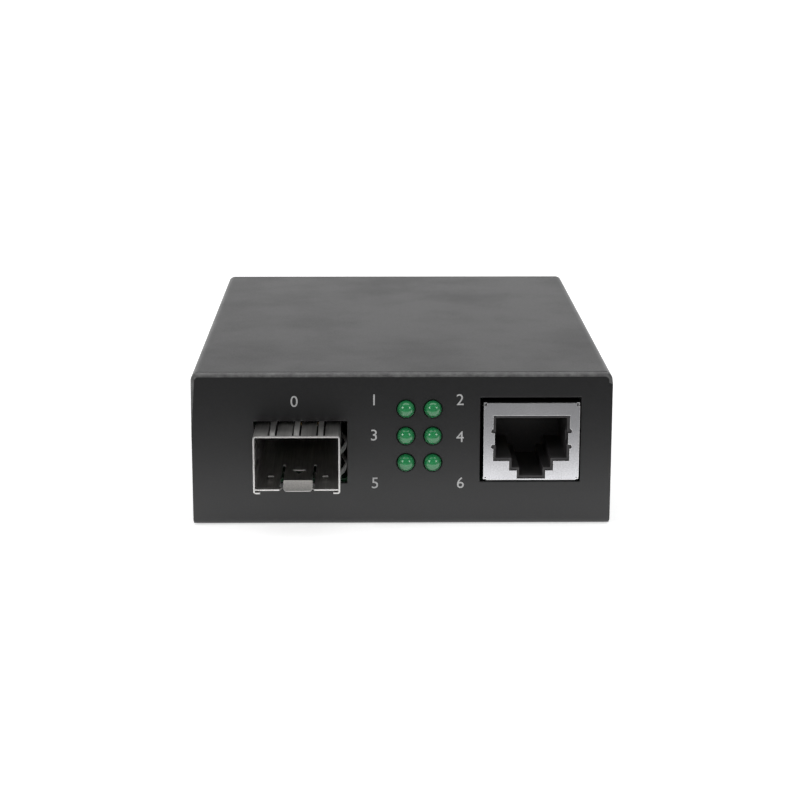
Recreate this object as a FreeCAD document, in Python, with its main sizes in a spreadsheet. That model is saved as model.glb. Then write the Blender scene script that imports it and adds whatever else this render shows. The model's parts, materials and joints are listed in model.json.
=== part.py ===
import FreeCAD, Part
import os
import re
import Sketcher

# Fibre media converter: a folded tray and cover round one circuit board, with a pluggable
# transceiver bay and a network jack in the front panel and a power inlet in the rear panel.
# Millimetres. X runs to the right seen from the front, Y to the rear, Z up. The origin is the
# middle of the underside.

V = FreeCAD.Vector
doc = FreeCAD.newDocument("media_converter")
sheet = doc.addObject("Spreadsheet::Sheet", "Sizes")

SIZES = {
    # how far a cut runs past the sheet that it goes through
    "cut_over": 1,
    # housing
    "case_width": 70.3,
    "case_depth": 94,
    "case_height": 26.2,
    "tray_sheet": 1.0,
    "tray_bend": 1.3,
    "cover_sheet": 0.8,
    "cover_bend": 1.3,
    "cover_gap": 0.1,
    "seam": 0.2,
    "panel_foot_corner": 0.8,
    "flange_rise": 8,
    "flange_relief": 1.5,
    # screws that hold the cover to the side flanges
    "cover_screw_bore": 3,
    "cover_screw_length": 5,
    "cover_screw_rise": 4.2,
    "driver_recess_long": 0.95,
    "driver_recess_short": 0.25,
    "driver_recess_depth": 0.5,
    # side vents
    "vent_width": 1.6,
    "vent_length": 9,
    "vent_pitch": 4.2,
    "vent_rise": 15.5,
    # circuit board and what carries it
    "board_sheet": 1.6,
    "board_side_gap": 0.6,
    "board_front_gap": 0.5,
    "board_rear_gap": 0.8,
    "standoff_height": 5.1,
    "standoff_width": 5,
    "standoff_foot": 0.6,
    "standoff_foot_width": 4,
    "standoff_bore_depth": 4,
    "board_hole": 3.4,
    "board_screw_bore": 3,
    "board_screw_length": 5,
    "board_screw_head": 5.5,
    "board_screw_head_rise": 2,
    "fixing_inset": 4.75,
    "fixing_front": 29,
    "fixing_rear": 7,
    # transceiver cage
    "cage_inset": 17.79,
    "cage_width": 14.25,
    "cage_rise": 9.75,
    "cage_length": 48.7,
    "cage_reach": 7.9,
    "cage_sheet": 0.25,
    "cage_bend": 0.45,
    "cage_hook": 1.1,
    "cage_slot_left": 0.3,
    "cage_slot_right": 1.1,
    "cage_slot_top": 0.6,
    "cage_slot_bottom": 0.4,
    "finger_width": 0.87,
    "finger_pitch": 3.95,
    "finger_side_pitch": 3.6,
    "finger_side_drop": 4.6,
    "finger_root": 0.5,
    "finger_start": 0.2,
    "finger_length": 13,
    "finger_gap": 0.3,
    "finger_touch": 0.03,
    "finger_bow_right": 1.0,
    "cage_pin_width": 0.9,
    "cage_pin_length": 3,
    "cage_pin_first": 17,
    "cage_pin_pitch": 11,
    "cage_pin_hole_gap": 0.1,
    "cage_back_drop": 4.8,
    "cage_floor_lift": 0.5,
    "cage_floor_set_back": 0.2,
    "cage_floor_length": 33,
    "mouth_width": 5.8,
    "mouth_slope": 0.5,
    "mouth_depth": 1.2,
    "tongue_width": 4.85,
    "tongue_slit": 0.45,
    "tongue_set_back": 5.8,
    "tongue_length": 9.5,
    "tongue_tip": 1.45,
    "tongue_tip_run": 1.15,
    "tongue_tip_corner": 0.6,
    "latch_window": 2.4,
    "latch_window_back": 4,
    "lance_width": 0.9,
    "lance_spread": 9.1,
    "lance_rise": 0.45,
    "lance_length": 1.1,
    "lance_sheet": 0.2,
    "lance_back": 6.3,
    # connector inside the cage
    "sfp_block_width": 11.6,
    "sfp_block_length": 9.5,
    "sfp_block_rise": 5.4,
    "sfp_block_rear_gap": 1.8,
    "sfp_mouth_width": 9.4,
    "sfp_mouth_height": 1.9,
    "sfp_mouth_rise": 2.2,
    "sfp_mouth_depth": 6.2,
    "sfp_contact_pitch": 0.8,
    "sfp_contact_width": 0.3,
    "sfp_contact_sheet": 0.2,
    "sfp_contact_set_back": 1.2,
    "sfp_contact_clear": 0.3,
    # network jack
    "jack_inset": 13.49,
    "jack_width": 16,
    "jack_rise": 13.5,
    "jack_lift": 0.25,
    "jack_length": 21.3,
    "jack_reach": 0.6,
    "jack_sheet": 0.25,
    "jack_slot_left": 0.6,
    "jack_slot_right": 0.3,
    "jack_slot_top": 0.85,
    "jack_slot_bottom": 0.45,
    "jack_corner_notch": 0.5,
    "window_width": 12.8,
    "window_top_bar": 2.15,
    "window_shoulder": 3.3,
    "window_keyway_width": 7.4,
    "window_keyway": 1.65,
    "window_mouth_width": 4.8,
    "window_tab_top": 4.8,
    "window_tab_length": 2.7,
    "window_tab_depth": 3,
    "window_tab_notch": 0.7,
    "insert_lip": 0.42,
    "insert_gap": 0.05,
    "insert_depth": 15.5,
    "jack_contact_pitch": 1.016,
    "jack_contact_width": 0.46,
    "jack_contact_sheet": 0.3,
    "jack_contact_drop": 2.5,
    "jack_contact_set_back": 8,
    "jack_contact_loop": 1,
    "jack_contact_lean": 5.5,
    "shield_floor_length": 6,
    "shield_pin_width": 1.6,
    "shield_pin_overlap": 1,
    "shield_pin_back": 7.5,
    "shield_pin_length": 3,
    # indicator lamps
    "lamp_width": 2.92,
    "lamp_length": 5.1,
    "lamp_reach": 1.55,
    "lamp_dome_turn": 35,
    "lamp_hole_gap": 0.12,
    "lamp_column_left": 0.68,
    "lamp_column_right": 5.18,
    "lamp_row_bottom": 10.85,
    "lamp_row_pitch": 4.62,
    "lamp_holder_margin": 2.4,
    "lamp_holder_depth": 3.6,
    "lamp_holder_gap": 0.35,
    "lead_width": 0.5,
    "lead_pitch": 1.27,
    "lead_first_bend": 1.6,
    "lead_step": 2.4,
    "lead_hole_gap": 0.1,
    "lead_end": 1.2,
    # power inlet
    "inlet_inset": 17.15,
    "inlet_width": 9,
    "inlet_rise": 11,
    "inlet_length": 14,
    "inlet_flange": 3.2,
    "inlet_step": 1.2,
    "inlet_slot_gap": 0.3,
    "inlet_bore": 6.4,
    "inlet_bore_rise": 6.5,
    "inlet_bore_depth": 9.5,
    "inlet_pin": 2.0,
    "inlet_pin_shy": 1,
    "inlet_terminal_width": 2,
    "inlet_terminal_sheet": 0.4,
    "inlet_spring_length": 8,
    "inlet_spring_end": 1,
    "inlet_spring_flat": 2,
    "inlet_spring_crest": 4.5,
    "inlet_spring_bow": 0.75,
    "inlet_channel_depth": 0.9,
    "inlet_channel_gap": 0.1,
    "inlet_channel_shy": 1.5,
    "inlet_terminal_back": 0.8,
    # parts on the board
    "controller_width": 14,
    "controller_rise": 1.4,
    "controller_x": 1.5,
    "controller_y": -10,
    "bridge_width": 8,
    "bridge_rise": 0.9,
    "bridge_x": -15,
    "bridge_y": 8,
    "chip_lift": 0.1,
    "chip_edge": 0.2,
    "pin_pitch": 0.8,
    "pin_width": 0.3,
    "pin_sheet": 0.15,
    "pin_reach": 1.0,
    "pin_shoulder": 0.3,
    "pin_knee": 0.5,
    "transformer_width": 15,
    "transformer_length": 11.5,
    "transformer_rise": 6,
    "transformer_edge": 0.4,
    "transformer_pin_level": 1,
    "transformer_x": 19.5,
    "transformer_y": -8,
    "memory_x": 19,
    "memory_y": 12,
    "memory_width": 3.9,
    "memory_length": 4.9,
    "memory_rise": 1.5,
    "crystal_x": 1.5,
    "crystal_y": -26,
    "crystal_width": 11.2,
    "crystal_depth": 4.7,
    "crystal_rise": 3.5,
    "regulator_x": -3,
    "regulator_y": 16,
    "regulator_width": 6.5,
    "regulator_length": 3.5,
    "regulator_rise": 1.7,
    "inductor_x": 11,
    "inductor_y": 23,
    "inductor_width": 10,
    "inductor_rise": 4.8,
    "inductor_winding": 7.4,
    "inductor_flange": 0.9,
    "input_can": 8,
    "input_can_rise": 10.2,
    "input_can_x": -2,
    "input_can_y": 35,
    "output_can": 6.3,
    "output_can_rise": 7.7,
    "output_can_x": 22,
    "output_can_y": 30,
    "can_base_rise": 1.2,
    "can_base_edge": 0.3,
    "fuse_x": 9,
    "fuse_y": 38,
    "fuse_width": 7.4,
    "fuse_length": 5.2,
    "fuse_rise": 1.6,
    "passive_length": 1.6,
    "passive_width": 0.8,
    "passive_rise": 0.7,
    "passive_row_gap": 2.6,
    "passive_pitch": 3.2,
    "resistor_pitch": 1.9,
    "resistor_gap": 2,
}

for row, (name, size) in enumerate(SIZES.items(), 1):
    sheet.set(f"A{row}", name)
    sheet.set(f"B{row}", str(size))
    sheet.setAlias(f"B{row}", name)
doc.recompute()

FRONT = "XZ_Plane"
SIDE = "YZ_Plane"
FLAT = "XY_Plane"

# Levels that several pieces share
HALF = "case_width/2"
PANEL_FACE = "-case_depth/2"
PANEL_BACK = "-case_depth/2 + tray_sheet"
REAR_INSIDE = "case_depth/2 - tray_sheet"
FLANGE_FACE = "case_width/2 - cover_sheet - cover_gap"
BOARD_UNDER = "tray_sheet + standoff_height"
BOARD_TOP = "tray_sheet + standoff_height + board_sheet"
CAGE_LIP = "-case_depth/2 - cage_reach"
CAGE_REAR = "-case_depth/2 - cage_reach + cage_length"
CAGE_TOP = f"{BOARD_TOP} + cage_rise"
CAGE_FLOOR = f"{BOARD_TOP} + cage_floor_lift"
JACK_FACE = "-case_depth/2 - jack_reach"
JACK_TOP = f"{BOARD_TOP} + jack_rise"
JACK_FOOT = f"{BOARD_TOP} + jack_lift"
INLET_FACE = "case_depth/2 - inlet_slot_gap"

# Places that follow the case's width
DERIVED = {
    "cage_offset": "(case_width/2 - cage_inset)",
    "jack_offset": "(case_width/2 - jack_inset)",
    "inlet_offset": "(case_width/2 - inlet_inset)",
    "fixing_offset": "(case_width/2 - cover_sheet - cover_gap - tray_sheet - fixing_inset)",
}

# How many of each repeated feature there are
VENTS = 9
CAGE_PINS = 3
CAGE_CONTACTS = 10
JACK_CONTACTS = 8
LAMP_ROWS = 3
DOME_STEPS = 2
TRANSFORMER_PINS = 8

# An end rounded to this share of a full half-circle keeps a short flat between its two arcs
NEARLY = 0.98

NODES = []


# --- helpers ------------------------------------------------------------------------------

WORD = re.compile(r"[a-z][a-z_0-9]*")


def cell(word):
    name = word.group()
    if name in DERIVED:
        return formula(DERIVED[name])
    return "Sizes." + name if name in SIZES else name


def formula(text):
    """A sum written with the sizes' names, as an expression that reads their cells."""
    return WORD.sub(cell, str(text))


def value(text):
    return float(sheet.evalExpression(formula(text)))


def bind(thing, prop, text):
    thing.setExpression(prop, formula(text))


def node(name, piece):
    """Marks a piece as a finished sub-part, written to the file of its name."""
    piece.Label = name
    NODES.append((name, piece))
    return piece


def box(name, x, y, z):
    piece = doc.addObject("Part::Box", name)
    for axis, side, (low, high) in zip("xyz", ("Length", "Width", "Height"), (x, y, z)):
        bind(piece, side, f"({high}) - ({low})")
        bind(piece, f"Placement.Base.{axis}", low)
    return piece


TURNS = {
    "z": FreeCAD.Rotation(),
    "y": FreeCAD.Rotation(V(1, 0, 0), -90),
    "x": FreeCAD.Rotation(V(0, 1, 0), 90),
}


def lay(piece, axis, centre, low):
    """Turns a round primitive from Z to an axis and sets where it starts."""
    piece.Placement = FreeCAD.Placement(V(0, 0, 0), TURNS[axis])
    across = [name for name in "xyz" if name != axis]
    for name, place in zip(across, centre):
        bind(piece, f"Placement.Base.{name}", place)
    bind(piece, f"Placement.Base.{axis}", low)


def cylinder(name, axis, width, centre, low, high):
    piece = doc.addObject("Part::Cylinder", name)
    bind(piece, "Radius", f"({width})/2")
    bind(piece, "Height", f"({high}) - ({low})")
    lay(piece, axis, centre, low)
    return piece


def hexagon(name, across, centre, low, high):
    """An upright hexagonal bar, so wide across its flats, with two corners on the X line."""
    piece = doc.addObject("Part::Prism", name)
    piece.Polygon = 6
    bind(piece, "Circumradius", f"({across})/sqrt(3)")
    bind(piece, "Height", f"({high}) - ({low})")
    lay(piece, "z", centre, low)
    return piece


def hexagon_corners(across, x, y):
    """The corners of the same hexagon, for a sketch."""
    tip, flat, shoulder = f"({across})/sqrt(3)", f"({across})/2", f"({across})/sqrt(12)"
    return [(f"{x} + {tip}", y), (f"{x} + {shoulder}", f"{y} + {flat}"),
            (f"{x} - {shoulder}", f"{y} + {flat}"), (f"{x} - {tip}", y),
            (f"{x} - {shoulder}", f"{y} - {flat}"), (f"{x} + {shoulder}", f"{y} - {flat}")]


def cone(name, axis, low_width, high_width, centre, low, high):
    piece = doc.addObject("Part::Cone", name)
    bind(piece, "Radius1", f"({low_width})/2")
    bind(piece, "Radius2", f"({high_width})/2")
    bind(piece, "Height", f"({high}) - ({low})")
    lay(piece, axis, centre, low)
    return piece


def fuse(name, pieces):
    whole = doc.addObject("Part::MultiFuse", name)
    whole.Shapes = pieces
    whole.Refine = True
    return whole


def group(name, pieces):
    """Several separate solids that make one node."""
    whole = doc.addObject("Part::Compound", name)
    whole.Links = pieces
    return whole


def cut(name, base, tools):
    whole = doc.addObject("Part::Cut", name)
    whole.Base = base
    whole.Tool = tools[0] if len(tools) == 1 else group(name + "_tools", tools)
    whole.Refine = True
    return whole


def shape(name, made):
    """A piece whose form is worked out from the sheet's values."""
    piece = doc.addObject("Part::Feature", name)
    piece.Shape = made
    return piece


def body(name):
    return doc.addObject("PartDesign::Body", name)


def rectangle(x, y):
    return [(x[0], y[0]), (x[1], y[0]), (x[1], y[1]), (x[0], y[1])]


class Outline:
    """Draws closed outlines in a sketch and ties every corner to the sheet."""

    def __init__(self, sketch):
        self.sketch = sketch
        self.rules = []

    def rule(self, *parts, text=None):
        self.rules.append((Sketcher.Constraint(*parts), text))

    def finish(self):
        self.sketch.addConstraint([rule for rule, text in self.rules])
        for index, (rule, text) in enumerate(self.rules):
            if text is not None:
                self.sketch.setExpression(f"Constraints[{index}]", formula(text))

    def circle(self, x, y, width):
        ring = Part.Circle(V(value(x), value(y), 0), V(0, 0, 1), value(width) / 2)
        index = self.sketch.addGeometry(ring, False)
        self.rule("DistanceX", -1, 1, index, 3, value(x), text=x)
        self.rule("DistanceY", -1, 1, index, 3, value(y), text=y)
        self.rule("Radius", index, value(width) / 2, text=f"({width})/2")

    def corners(self, points):
        """Straight runs of any slope: each corner has both its places tied."""
        spots = [V(value(x), value(y), 0) for x, y in points]
        count = len(spots)
        lines = [Part.LineSegment(spots[k], spots[(k + 1) % count]) for k in range(count)]
        first = self.sketch.addGeometry(lines, False)[0]
        for k, (x, y) in enumerate(points):
            self.rule("Coincident", first + k, 2, first + (k + 1) % count, 1)
            self.rule("DistanceX", -1, 1, first + k, 1, spots[k].x, text=x)
            self.rule("DistanceY", -1, 1, first + k, 1, spots[k].y, text=y)

    def square(self, points, radii=None):
        """Level and upright runs: each has its one place tied. radii rounds chosen corners."""
        radii = radii or {}
        spots = [V(value(x), value(y), 0) for x, y in points]
        count = len(spots)
        along = [(spots[(k + 1) % count] - spots[k]).normalize() for k in range(count)]
        trim = [value(radii[k]) if k in radii else 0 for k in range(count)]
        lines = []
        for k in range(count):
            start = spots[k] + along[k] * trim[k]
            stop = spots[(k + 1) % count] - along[k] * trim[(k + 1) % count]
            lines.append(Part.LineSegment(start, stop))
        first = self.sketch.addGeometry(lines, False)[0]
        for k, (x, y) in enumerate(points):
            before = (k - 1) % count
            if abs(along[k].x) < 0.5:
                self.rule("Vertical", first + k)
                self.rule("DistanceX", -1, 1, first + k, 1, spots[k].x, text=x)
            else:
                self.rule("Horizontal", first + k)
                self.rule("DistanceY", -1, 1, first + k, 1, spots[k].y, text=y)
            if trim[k]:
                arc, forward = self.corner_arc(spots[k], along[before], along[k], trim[k])
                index = self.sketch.addGeometry(arc, False)
                near, far = (1, 2) if forward else (2, 1)
                self.rule("Tangent", first + before, 2, index, near)
                self.rule("Tangent", index, far, first + k, 1)
                self.rule("Radius", index, trim[k], text=radii[k])
            else:
                self.rule("Coincident", first + before, 2, first + k, 1)

    @staticmethod
    def corner_arc(spot, come, leave, radius):
        start = spot - come * radius
        stop = spot + leave * radius
        centre = spot - come * radius + leave * radius
        middle = centre + (spot - centre).normalize() * radius
        forward = come.cross(leave).z > 0
        if forward:
            return Part.Arc(start, middle, stop), True
        return Part.Arc(stop, middle, start), False


def run(owner, kind, plane, low, high, draw, name):
    """Adds or takes away what draw() outlines on a plane, from one level to another."""
    sketch = owner.newObject("Sketcher::SketchObject", name + "_sketch")
    support = next(part for part in owner.Origin.OriginFeatures if part.Role == plane)
    sketch.AttachmentSupport = [(support, "")]
    sketch.MapMode = "FlatFace"
    faces_back = plane == FRONT
    takes_away = kind == "PartDesign::Pocket"
    level = high if faces_back != takes_away else low
    bind(sketch, "AttachmentOffset.Base.z", f"-({level})" if faces_back else level)
    outline = Outline(sketch)
    draw(outline)
    outline.finish()
    before = owner.Shape.Volume if takes_away else 0
    feature = owner.newObject(kind, name)
    feature.Profile = sketch
    bind(feature, "Length", f"({high}) - ({low})")
    doc.recompute()
    if takes_away and feature.Shape.Volume >= before:
        raise RuntimeError(f"{name} takes nothing away")
    return feature


def pad(owner, name, plane, low, high, draw):
    return run(owner, "PartDesign::Pad", plane, low, high, draw, name)


def pocket(owner, name, plane, low, high, draw):
    return run(owner, "PartDesign::Pocket", plane, low, high, draw, name)


def strip(path, thick):
    """Outline of a sheet of even thickness on the left of a path, with mitred folds."""
    spots = [V(x, y, 0) for x, y in path]
    runs = [(after - spot).normalize() for spot, after in zip(spots, spots[1:])]
    lefts = [V(-step.y, step.x, 0) for step in runs]
    beside = []
    for k, spot in enumerate(spots):
        first = lefts[max(k - 1, 0)]
        second = lefts[min(k, len(lefts) - 1)]
        beside.append(spot + (first + second) * (thick / (1 + first.dot(second))))
    return spots + beside[::-1]


def folded(path, thick, width, across):
    """A folded strip. The path lies in the YZ plane, or in the XZ plane turned by the caller,
    and across is the strip's middle."""
    ring = [V(across - width / 2, spot.x, spot.y) for spot in strip(path, thick)]
    return Part.Face(Part.makePolygon(ring + ring[:1])).extrude(V(width, 0, 0))


def turned(made, angle):
    """A copy of a shape turned about the upright line through the origin."""
    copy = made.copy()
    copy.rotate(V(0, 0, 0), V(0, 0, 1), angle)
    return copy


def moved(made, x, y, z):
    copy = made.copy()
    copy.translate(V(x, y, z))
    return copy


# --- housing ------------------------------------------------------------------------------

def lamp_places():
    """Column, height and row number of each lamp, from the top row down."""
    columns = ("lamp_column_left", "lamp_column_right")
    return [(column, f"lamp_row_bottom + {row}*lamp_row_pitch", row)
            for row in reversed(range(LAMP_ROWS)) for column in columns]


def jack_slot():
    return (("jack_offset - jack_width/2 - jack_slot_left", "jack_offset + jack_width/2 + jack_slot_right"),
            (f"{JACK_FOOT} - jack_slot_bottom", f"{JACK_TOP} + jack_slot_top"))


def cage_slot():
    return (("-cage_offset - cage_width/2 - cage_slot_left", "-cage_offset + cage_width/2 + cage_slot_right"),
            (f"{BOARD_TOP} - cage_slot_bottom", f"{CAGE_TOP} + cage_slot_top"))


def chassis_tray():
    """One folded sheet: base, front panel, rear panel and two low side flanges."""
    tray = body("tray_sheet_body")
    inner = "tray_bend - tray_sheet"

    def side_profile(draw):
        draw.square([
            ("-case_depth/2", "0"), ("case_depth/2", "0"),
            ("case_depth/2", "case_height"), (REAR_INSIDE, "case_height"),
            (REAR_INSIDE, "tray_sheet"), (PANEL_BACK, "tray_sheet"),
            (PANEL_BACK, "case_height"), ("-case_depth/2", "case_height"),
        ], {0: "tray_bend", 1: "tray_bend", 4: inner, 5: inner})

    pad(tray, "base_and_panels", SIDE, f"-{HALF}", HALF, side_profile)

    # the cover's sides stand beside the base, between the panels
    def side_strips(draw):
        edge = f"{FLANGE_FACE} - tray_bend"
        tall = ("-cut_over", "case_height + cut_over")
        draw.square(rectangle((f"-{HALF} - cut_over", f"-({edge})"), tall))
        draw.square(rectangle((edge, f"{HALF} + cut_over"), tall))

    pocket(tray, "side_strips", FRONT, PANEL_BACK, REAR_INSIDE, side_strips)

    def flange_profiles(draw):
        for side in ("-", ""):
            foot = f"{side}({FLANGE_FACE} - 2*tray_bend)"
            outside = f"{side}({FLANGE_FACE})"
            inside = f"{side}({FLANGE_FACE} - tray_sheet)"
            draw.square([
                (foot, "0"), (outside, "0"), (outside, "flange_rise"),
                (inside, "flange_rise"), (inside, "tray_sheet"), (foot, "tray_sheet"),
            ], {1: "tray_bend", 4: inner})

    reach = "case_depth/2 - tray_bend - flange_relief"
    pad(tray, "side_flanges", FRONT, f"-({reach})", reach, flange_profiles)

    # both panels have rounded corners; the upper ones follow the cover's bend
    def panel_corners(draw):
        draw.square(rectangle((f"-{HALF} - cut_over", f"{HALF} + cut_over"),
                              ("-cut_over", "case_height + cut_over")))
        draw.square(rectangle((f"-{HALF}", HALF), ("0", "case_height")),
                    {0: "panel_foot_corner", 1: "panel_foot_corner", 2: "cover_bend", 3: "cover_bend"})

    pocket(tray, "panel_corners", FRONT, "-case_depth/2 - cut_over", "case_depth/2 + cut_over", panel_corners)

    def front_holes(draw):
        draw.square(rectangle(*jack_slot()))
        draw.square(rectangle(*cage_slot()))
        for column, height, row in lamp_places():
            draw.circle(column, height, "lamp_width + 2*lamp_hole_gap")

    pocket(tray, "front_holes", FRONT, "-case_depth/2 - cut_over", f"{PANEL_BACK} + cut_over", front_holes)

    def inlet_hole(draw):
        side = "inlet_width/2 + inlet_slot_gap"
        draw.square(rectangle((f"-inlet_offset - ({side})", f"-inlet_offset + {side}"),
                              (f"{BOARD_TOP} - inlet_slot_gap", f"{BOARD_TOP} + inlet_rise + inlet_slot_gap")))

    pocket(tray, "inlet_hole", FRONT, f"{REAR_INSIDE} - cut_over", "case_depth/2 + cut_over", inlet_hole)

    def standoff_holes(draw):
        for x, y in fixing_places():
            draw.corners(hexagon_corners("standoff_foot_width", x, y))

    pocket(tray, "standoff_holes", FLAT, "-cut_over", "tray_sheet + cut_over", standoff_holes)

    def tapped_holes(draw):
        draw.circle("0", "cover_screw_rise", "cover_screw_bore")

    pocket(tray, "tapped_holes", SIDE, f"-{HALF} - cut_over", f"{HALF} + cut_over", tapped_holes)
    return node("chassis_tray", tray)


def top_cover():
    """One folded sheet: top and two sides, flush with the edges of the two panels."""
    cover = body("cover_sheet_body")
    front = f"{PANEL_BACK} + seam"
    rear = f"{REAR_INSIDE} - seam"

    def profile(draw):
        inside = "case_width/2 - cover_sheet"
        roof = "case_height - cover_sheet"
        draw.square([
            (f"-{HALF}", "0"), (f"-({inside})", "0"), (f"-({inside})", roof), (inside, roof),
            (inside, "0"), (HALF, "0"), (HALF, "case_height"), (f"-{HALF}", "case_height"),
        ], {2: "cover_bend - cover_sheet", 3: "cover_bend - cover_sheet", 6: "cover_bend", 7: "cover_bend"})

    pad(cover, "top_and_sides", FRONT, front, rear, profile)

    def vents(draw):
        for k in range(VENTS):
            middle = f"({k} - {(VENTS - 1) / 2})*vent_pitch"
            draw.square(rectangle(
                (f"{middle} - vent_width/2", f"{middle} + vent_width/2"),
                ("vent_rise - vent_length/2", "vent_rise + vent_length/2"),
            ))

    pocket(cover, "side_vents", SIDE, f"-{HALF} - cut_over", f"{HALF} + cut_over", vents)

    sinks = [screw_head(f"screw_sink_{side + 1}", side) for side in (-1, 1)]
    return node("top_cover", cut("cover_with_sinks", cover, sinks))


def screw_head(name, side):
    """The cone of a countersunk head, as deep as the cover's sheet, narrow end inward."""
    narrow, wide = "cover_screw_bore", "cover_screw_bore + 2*cover_sheet"
    inner, outer = f"{HALF} - cover_sheet", HALF
    if side > 0:
        return cone(name, "x", narrow, wide, ("0", "cover_screw_rise"), inner, outer)
    return cone(name, "x", wide, narrow, ("0", "cover_screw_rise"), f"-({outer})", f"-({inner})")


def cover_screws():
    """Two countersunk screws, flush in the cover's sides and threaded into the flanges."""
    screws = []
    for side in (-1, 1):
        label = f"cover_screw_{side + 1}"
        ends = sorted((f"{side}*({HALF} - cover_screw_length)", f"{side}*({HALF} - cover_sheet)"), key=value)
        shank = cylinder(label + "_shank", "x", "cover_screw_bore", ("0", "cover_screw_rise"), *ends)
        depth = sorted((f"{side}*({HALF} - driver_recess_depth)", f"{side}*({HALF} + cut_over)"), key=value)
        arms = [box(f"{label}_{wide}", depth, (f"-{wide}", wide),
                    (f"cover_screw_rise - {high}", f"cover_screw_rise + {high}"))
                for wide, high in (("driver_recess_long", "driver_recess_short"),
                                   ("driver_recess_short", "driver_recess_long"))]
        screws.append(cut(label, fuse(label + "_blank", [screw_head(label + "_head", side), shank]), arms))
    return node("cover_screws", group("all_cover_screws", screws))


# --- circuit board ------------------------------------------------------------------------

def fixing_places():
    ys = ("-case_depth/2 + fixing_front", "case_depth/2 - fixing_rear")
    return [(f"{side}fixing_offset", y) for y in ys for side in ("-", "")]


def board_standoffs():
    """Four tapped hexagonal pillars riveted into the tray's base."""
    pillars = []
    for k, place in enumerate(fixing_places()):
        pillar = hexagon(f"pillar_{k}", "standoff_width", place, "tray_sheet", BOARD_UNDER)
        foot = hexagon(f"pillar_foot_{k}", "standoff_foot_width", place,
                       "tray_sheet - standoff_foot", "tray_sheet")
        bore = cylinder(f"pillar_bore_{k}", "z", "board_screw_bore", place,
                        f"{BOARD_UNDER} - standoff_bore_depth", f"{BOARD_UNDER} + cut_over")
        pillars.append(cut(f"standoff_{k}", fuse(f"pillar_blank_{k}", [pillar, foot]), [bore]))
    return node("board_standoffs", group("all_standoffs", pillars))


def board_screws():
    """Four hexagon-headed screws through the board into the pillars."""
    screws = []
    for k, place in enumerate(fixing_places()):
        shank = cylinder(f"board_screw_shank_{k}", "z", "board_screw_bore", place,
                         f"{BOARD_TOP} - board_screw_length", BOARD_TOP)
        head = hexagon(f"board_screw_head_{k}", "board_screw_head", place,
                       BOARD_TOP, f"{BOARD_TOP} + board_screw_head_rise")
        screws.append(fuse(f"board_screw_{k}", [shank, head]))
    return node("board_screws", group("all_board_screws", screws))


def circuit_board():
    board = body("board_body")

    def plate(draw):
        wide = f"{FLANGE_FACE} - tray_sheet - board_side_gap"
        draw.square(rectangle((f"-({wide})", wide),
                              (f"{PANEL_BACK} + board_front_gap", f"{REAR_INSIDE} - board_rear_gap")))

    pad(board, "plate", FLAT, BOARD_UNDER, BOARD_TOP, plate)

    def holes(draw):
        for x, y in fixing_places():
            draw.circle(x, y, "board_hole")
        for x, y, wide, long in pin_holes():
            draw.square(rectangle((f"{x} - ({wide})/2", f"{x} + ({wide})/2"),
                                  (f"{y} - ({long})/2", f"{y} + ({long})/2")))

    pocket(board, "holes", FLAT, f"{BOARD_UNDER} - cut_over", f"{BOARD_TOP} + cut_over", holes)
    return node("circuit_board", board)


def pin_holes():
    """Middle, width across and length of every slot that a pin goes down through."""
    slots = []
    for x, y in cage_pin_places():
        slots.append((x, y, "cage_sheet + 2*cage_pin_hole_gap", "cage_pin_width + 2*cage_pin_hole_gap"))
    for x, y in shield_pin_places():
        slots.append((x, y, "jack_sheet + 2*cage_pin_hole_gap", "shield_pin_width + 2*cage_pin_hole_gap"))
    for x, y in lead_places():
        slots.append((x, y, "lead_width + 2*lead_hole_gap", "lead_width + 2*lead_hole_gap"))
    for x, y in inlet_terminal_places():
        slots.append((x, y, "inlet_terminal_width + 2*lead_hole_gap",
                      "inlet_terminal_sheet + 2*lead_hole_gap"))
    return slots


# --- transceiver cage ---------------------------------------------------------------------

def cage_pin_places():
    sides = [f"-cage_offset {sign} (cage_width - cage_sheet)/2" for sign in "-+"]
    return [(x, f"{CAGE_LIP} + cage_pin_first + {k}*cage_pin_pitch") for x in sides for k in range(CAGE_PINS)]


def bowed_finger(rise):
    """A spring finger in the YZ plane: it leaves the sheet at its root, touches the panel's edge
    at its crest and comes back to the sheet at its tip."""
    start = value(f"{CAGE_LIP} + finger_start")
    crest = value(PANEL_FACE)
    stop = value(f"{CAGE_LIP} + finger_root + finger_length")
    spots = [V(0, start, 0), V(0, crest, rise), V(0, stop, 0)]
    bow = Part.Arc(*spots).toShape()
    centre = bow.Curve.Center
    inner = 1 - value("cage_sheet") / bow.Curve.Radius
    below = [centre + (spot - centre) * inner for spot in spots]
    edges = [
        bow, Part.makeLine(spots[2], below[2]),
        Part.Arc(below[2], below[1], below[0]).toShape(), Part.makeLine(below[0], spots[0]),
    ]
    width = value("finger_width")
    finger = Part.Face(Part.Wire(edges)).extrude(V(width, 0, 0))
    finger.translate(V(-width / 2, 0, 0))
    return finger


def cage_fingers():
    """Three fingers on the roof and two on each side. A side finger is a roof finger turned."""
    middle = value("-cage_offset")
    roof = value(CAGE_TOP)
    fingers = []
    for k in (-1, 0, 1):
        finger = bowed_finger(value("cage_slot_top - finger_touch"))
        finger.translate(V(middle + k * value("finger_pitch"), 0, roof))
        fingers.append(finger)
    for side, bow in ((-1, "cage_slot_left - finger_touch"), (1, "finger_bow_right")):
        for height in side_finger_heights():
            finger = bowed_finger(value(bow))
            finger.rotate(V(0, 0, 0), V(0, 1, 0), side * 90)
            finger.translate(V(middle + side * value("cage_width/2"), 0, value(height)))
            fingers.append(finger)
    return fingers


def side_finger_heights():
    top = f"{CAGE_TOP} - finger_side_drop + finger_side_pitch/2"
    return (top, f"{top} - finger_side_pitch")


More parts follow.
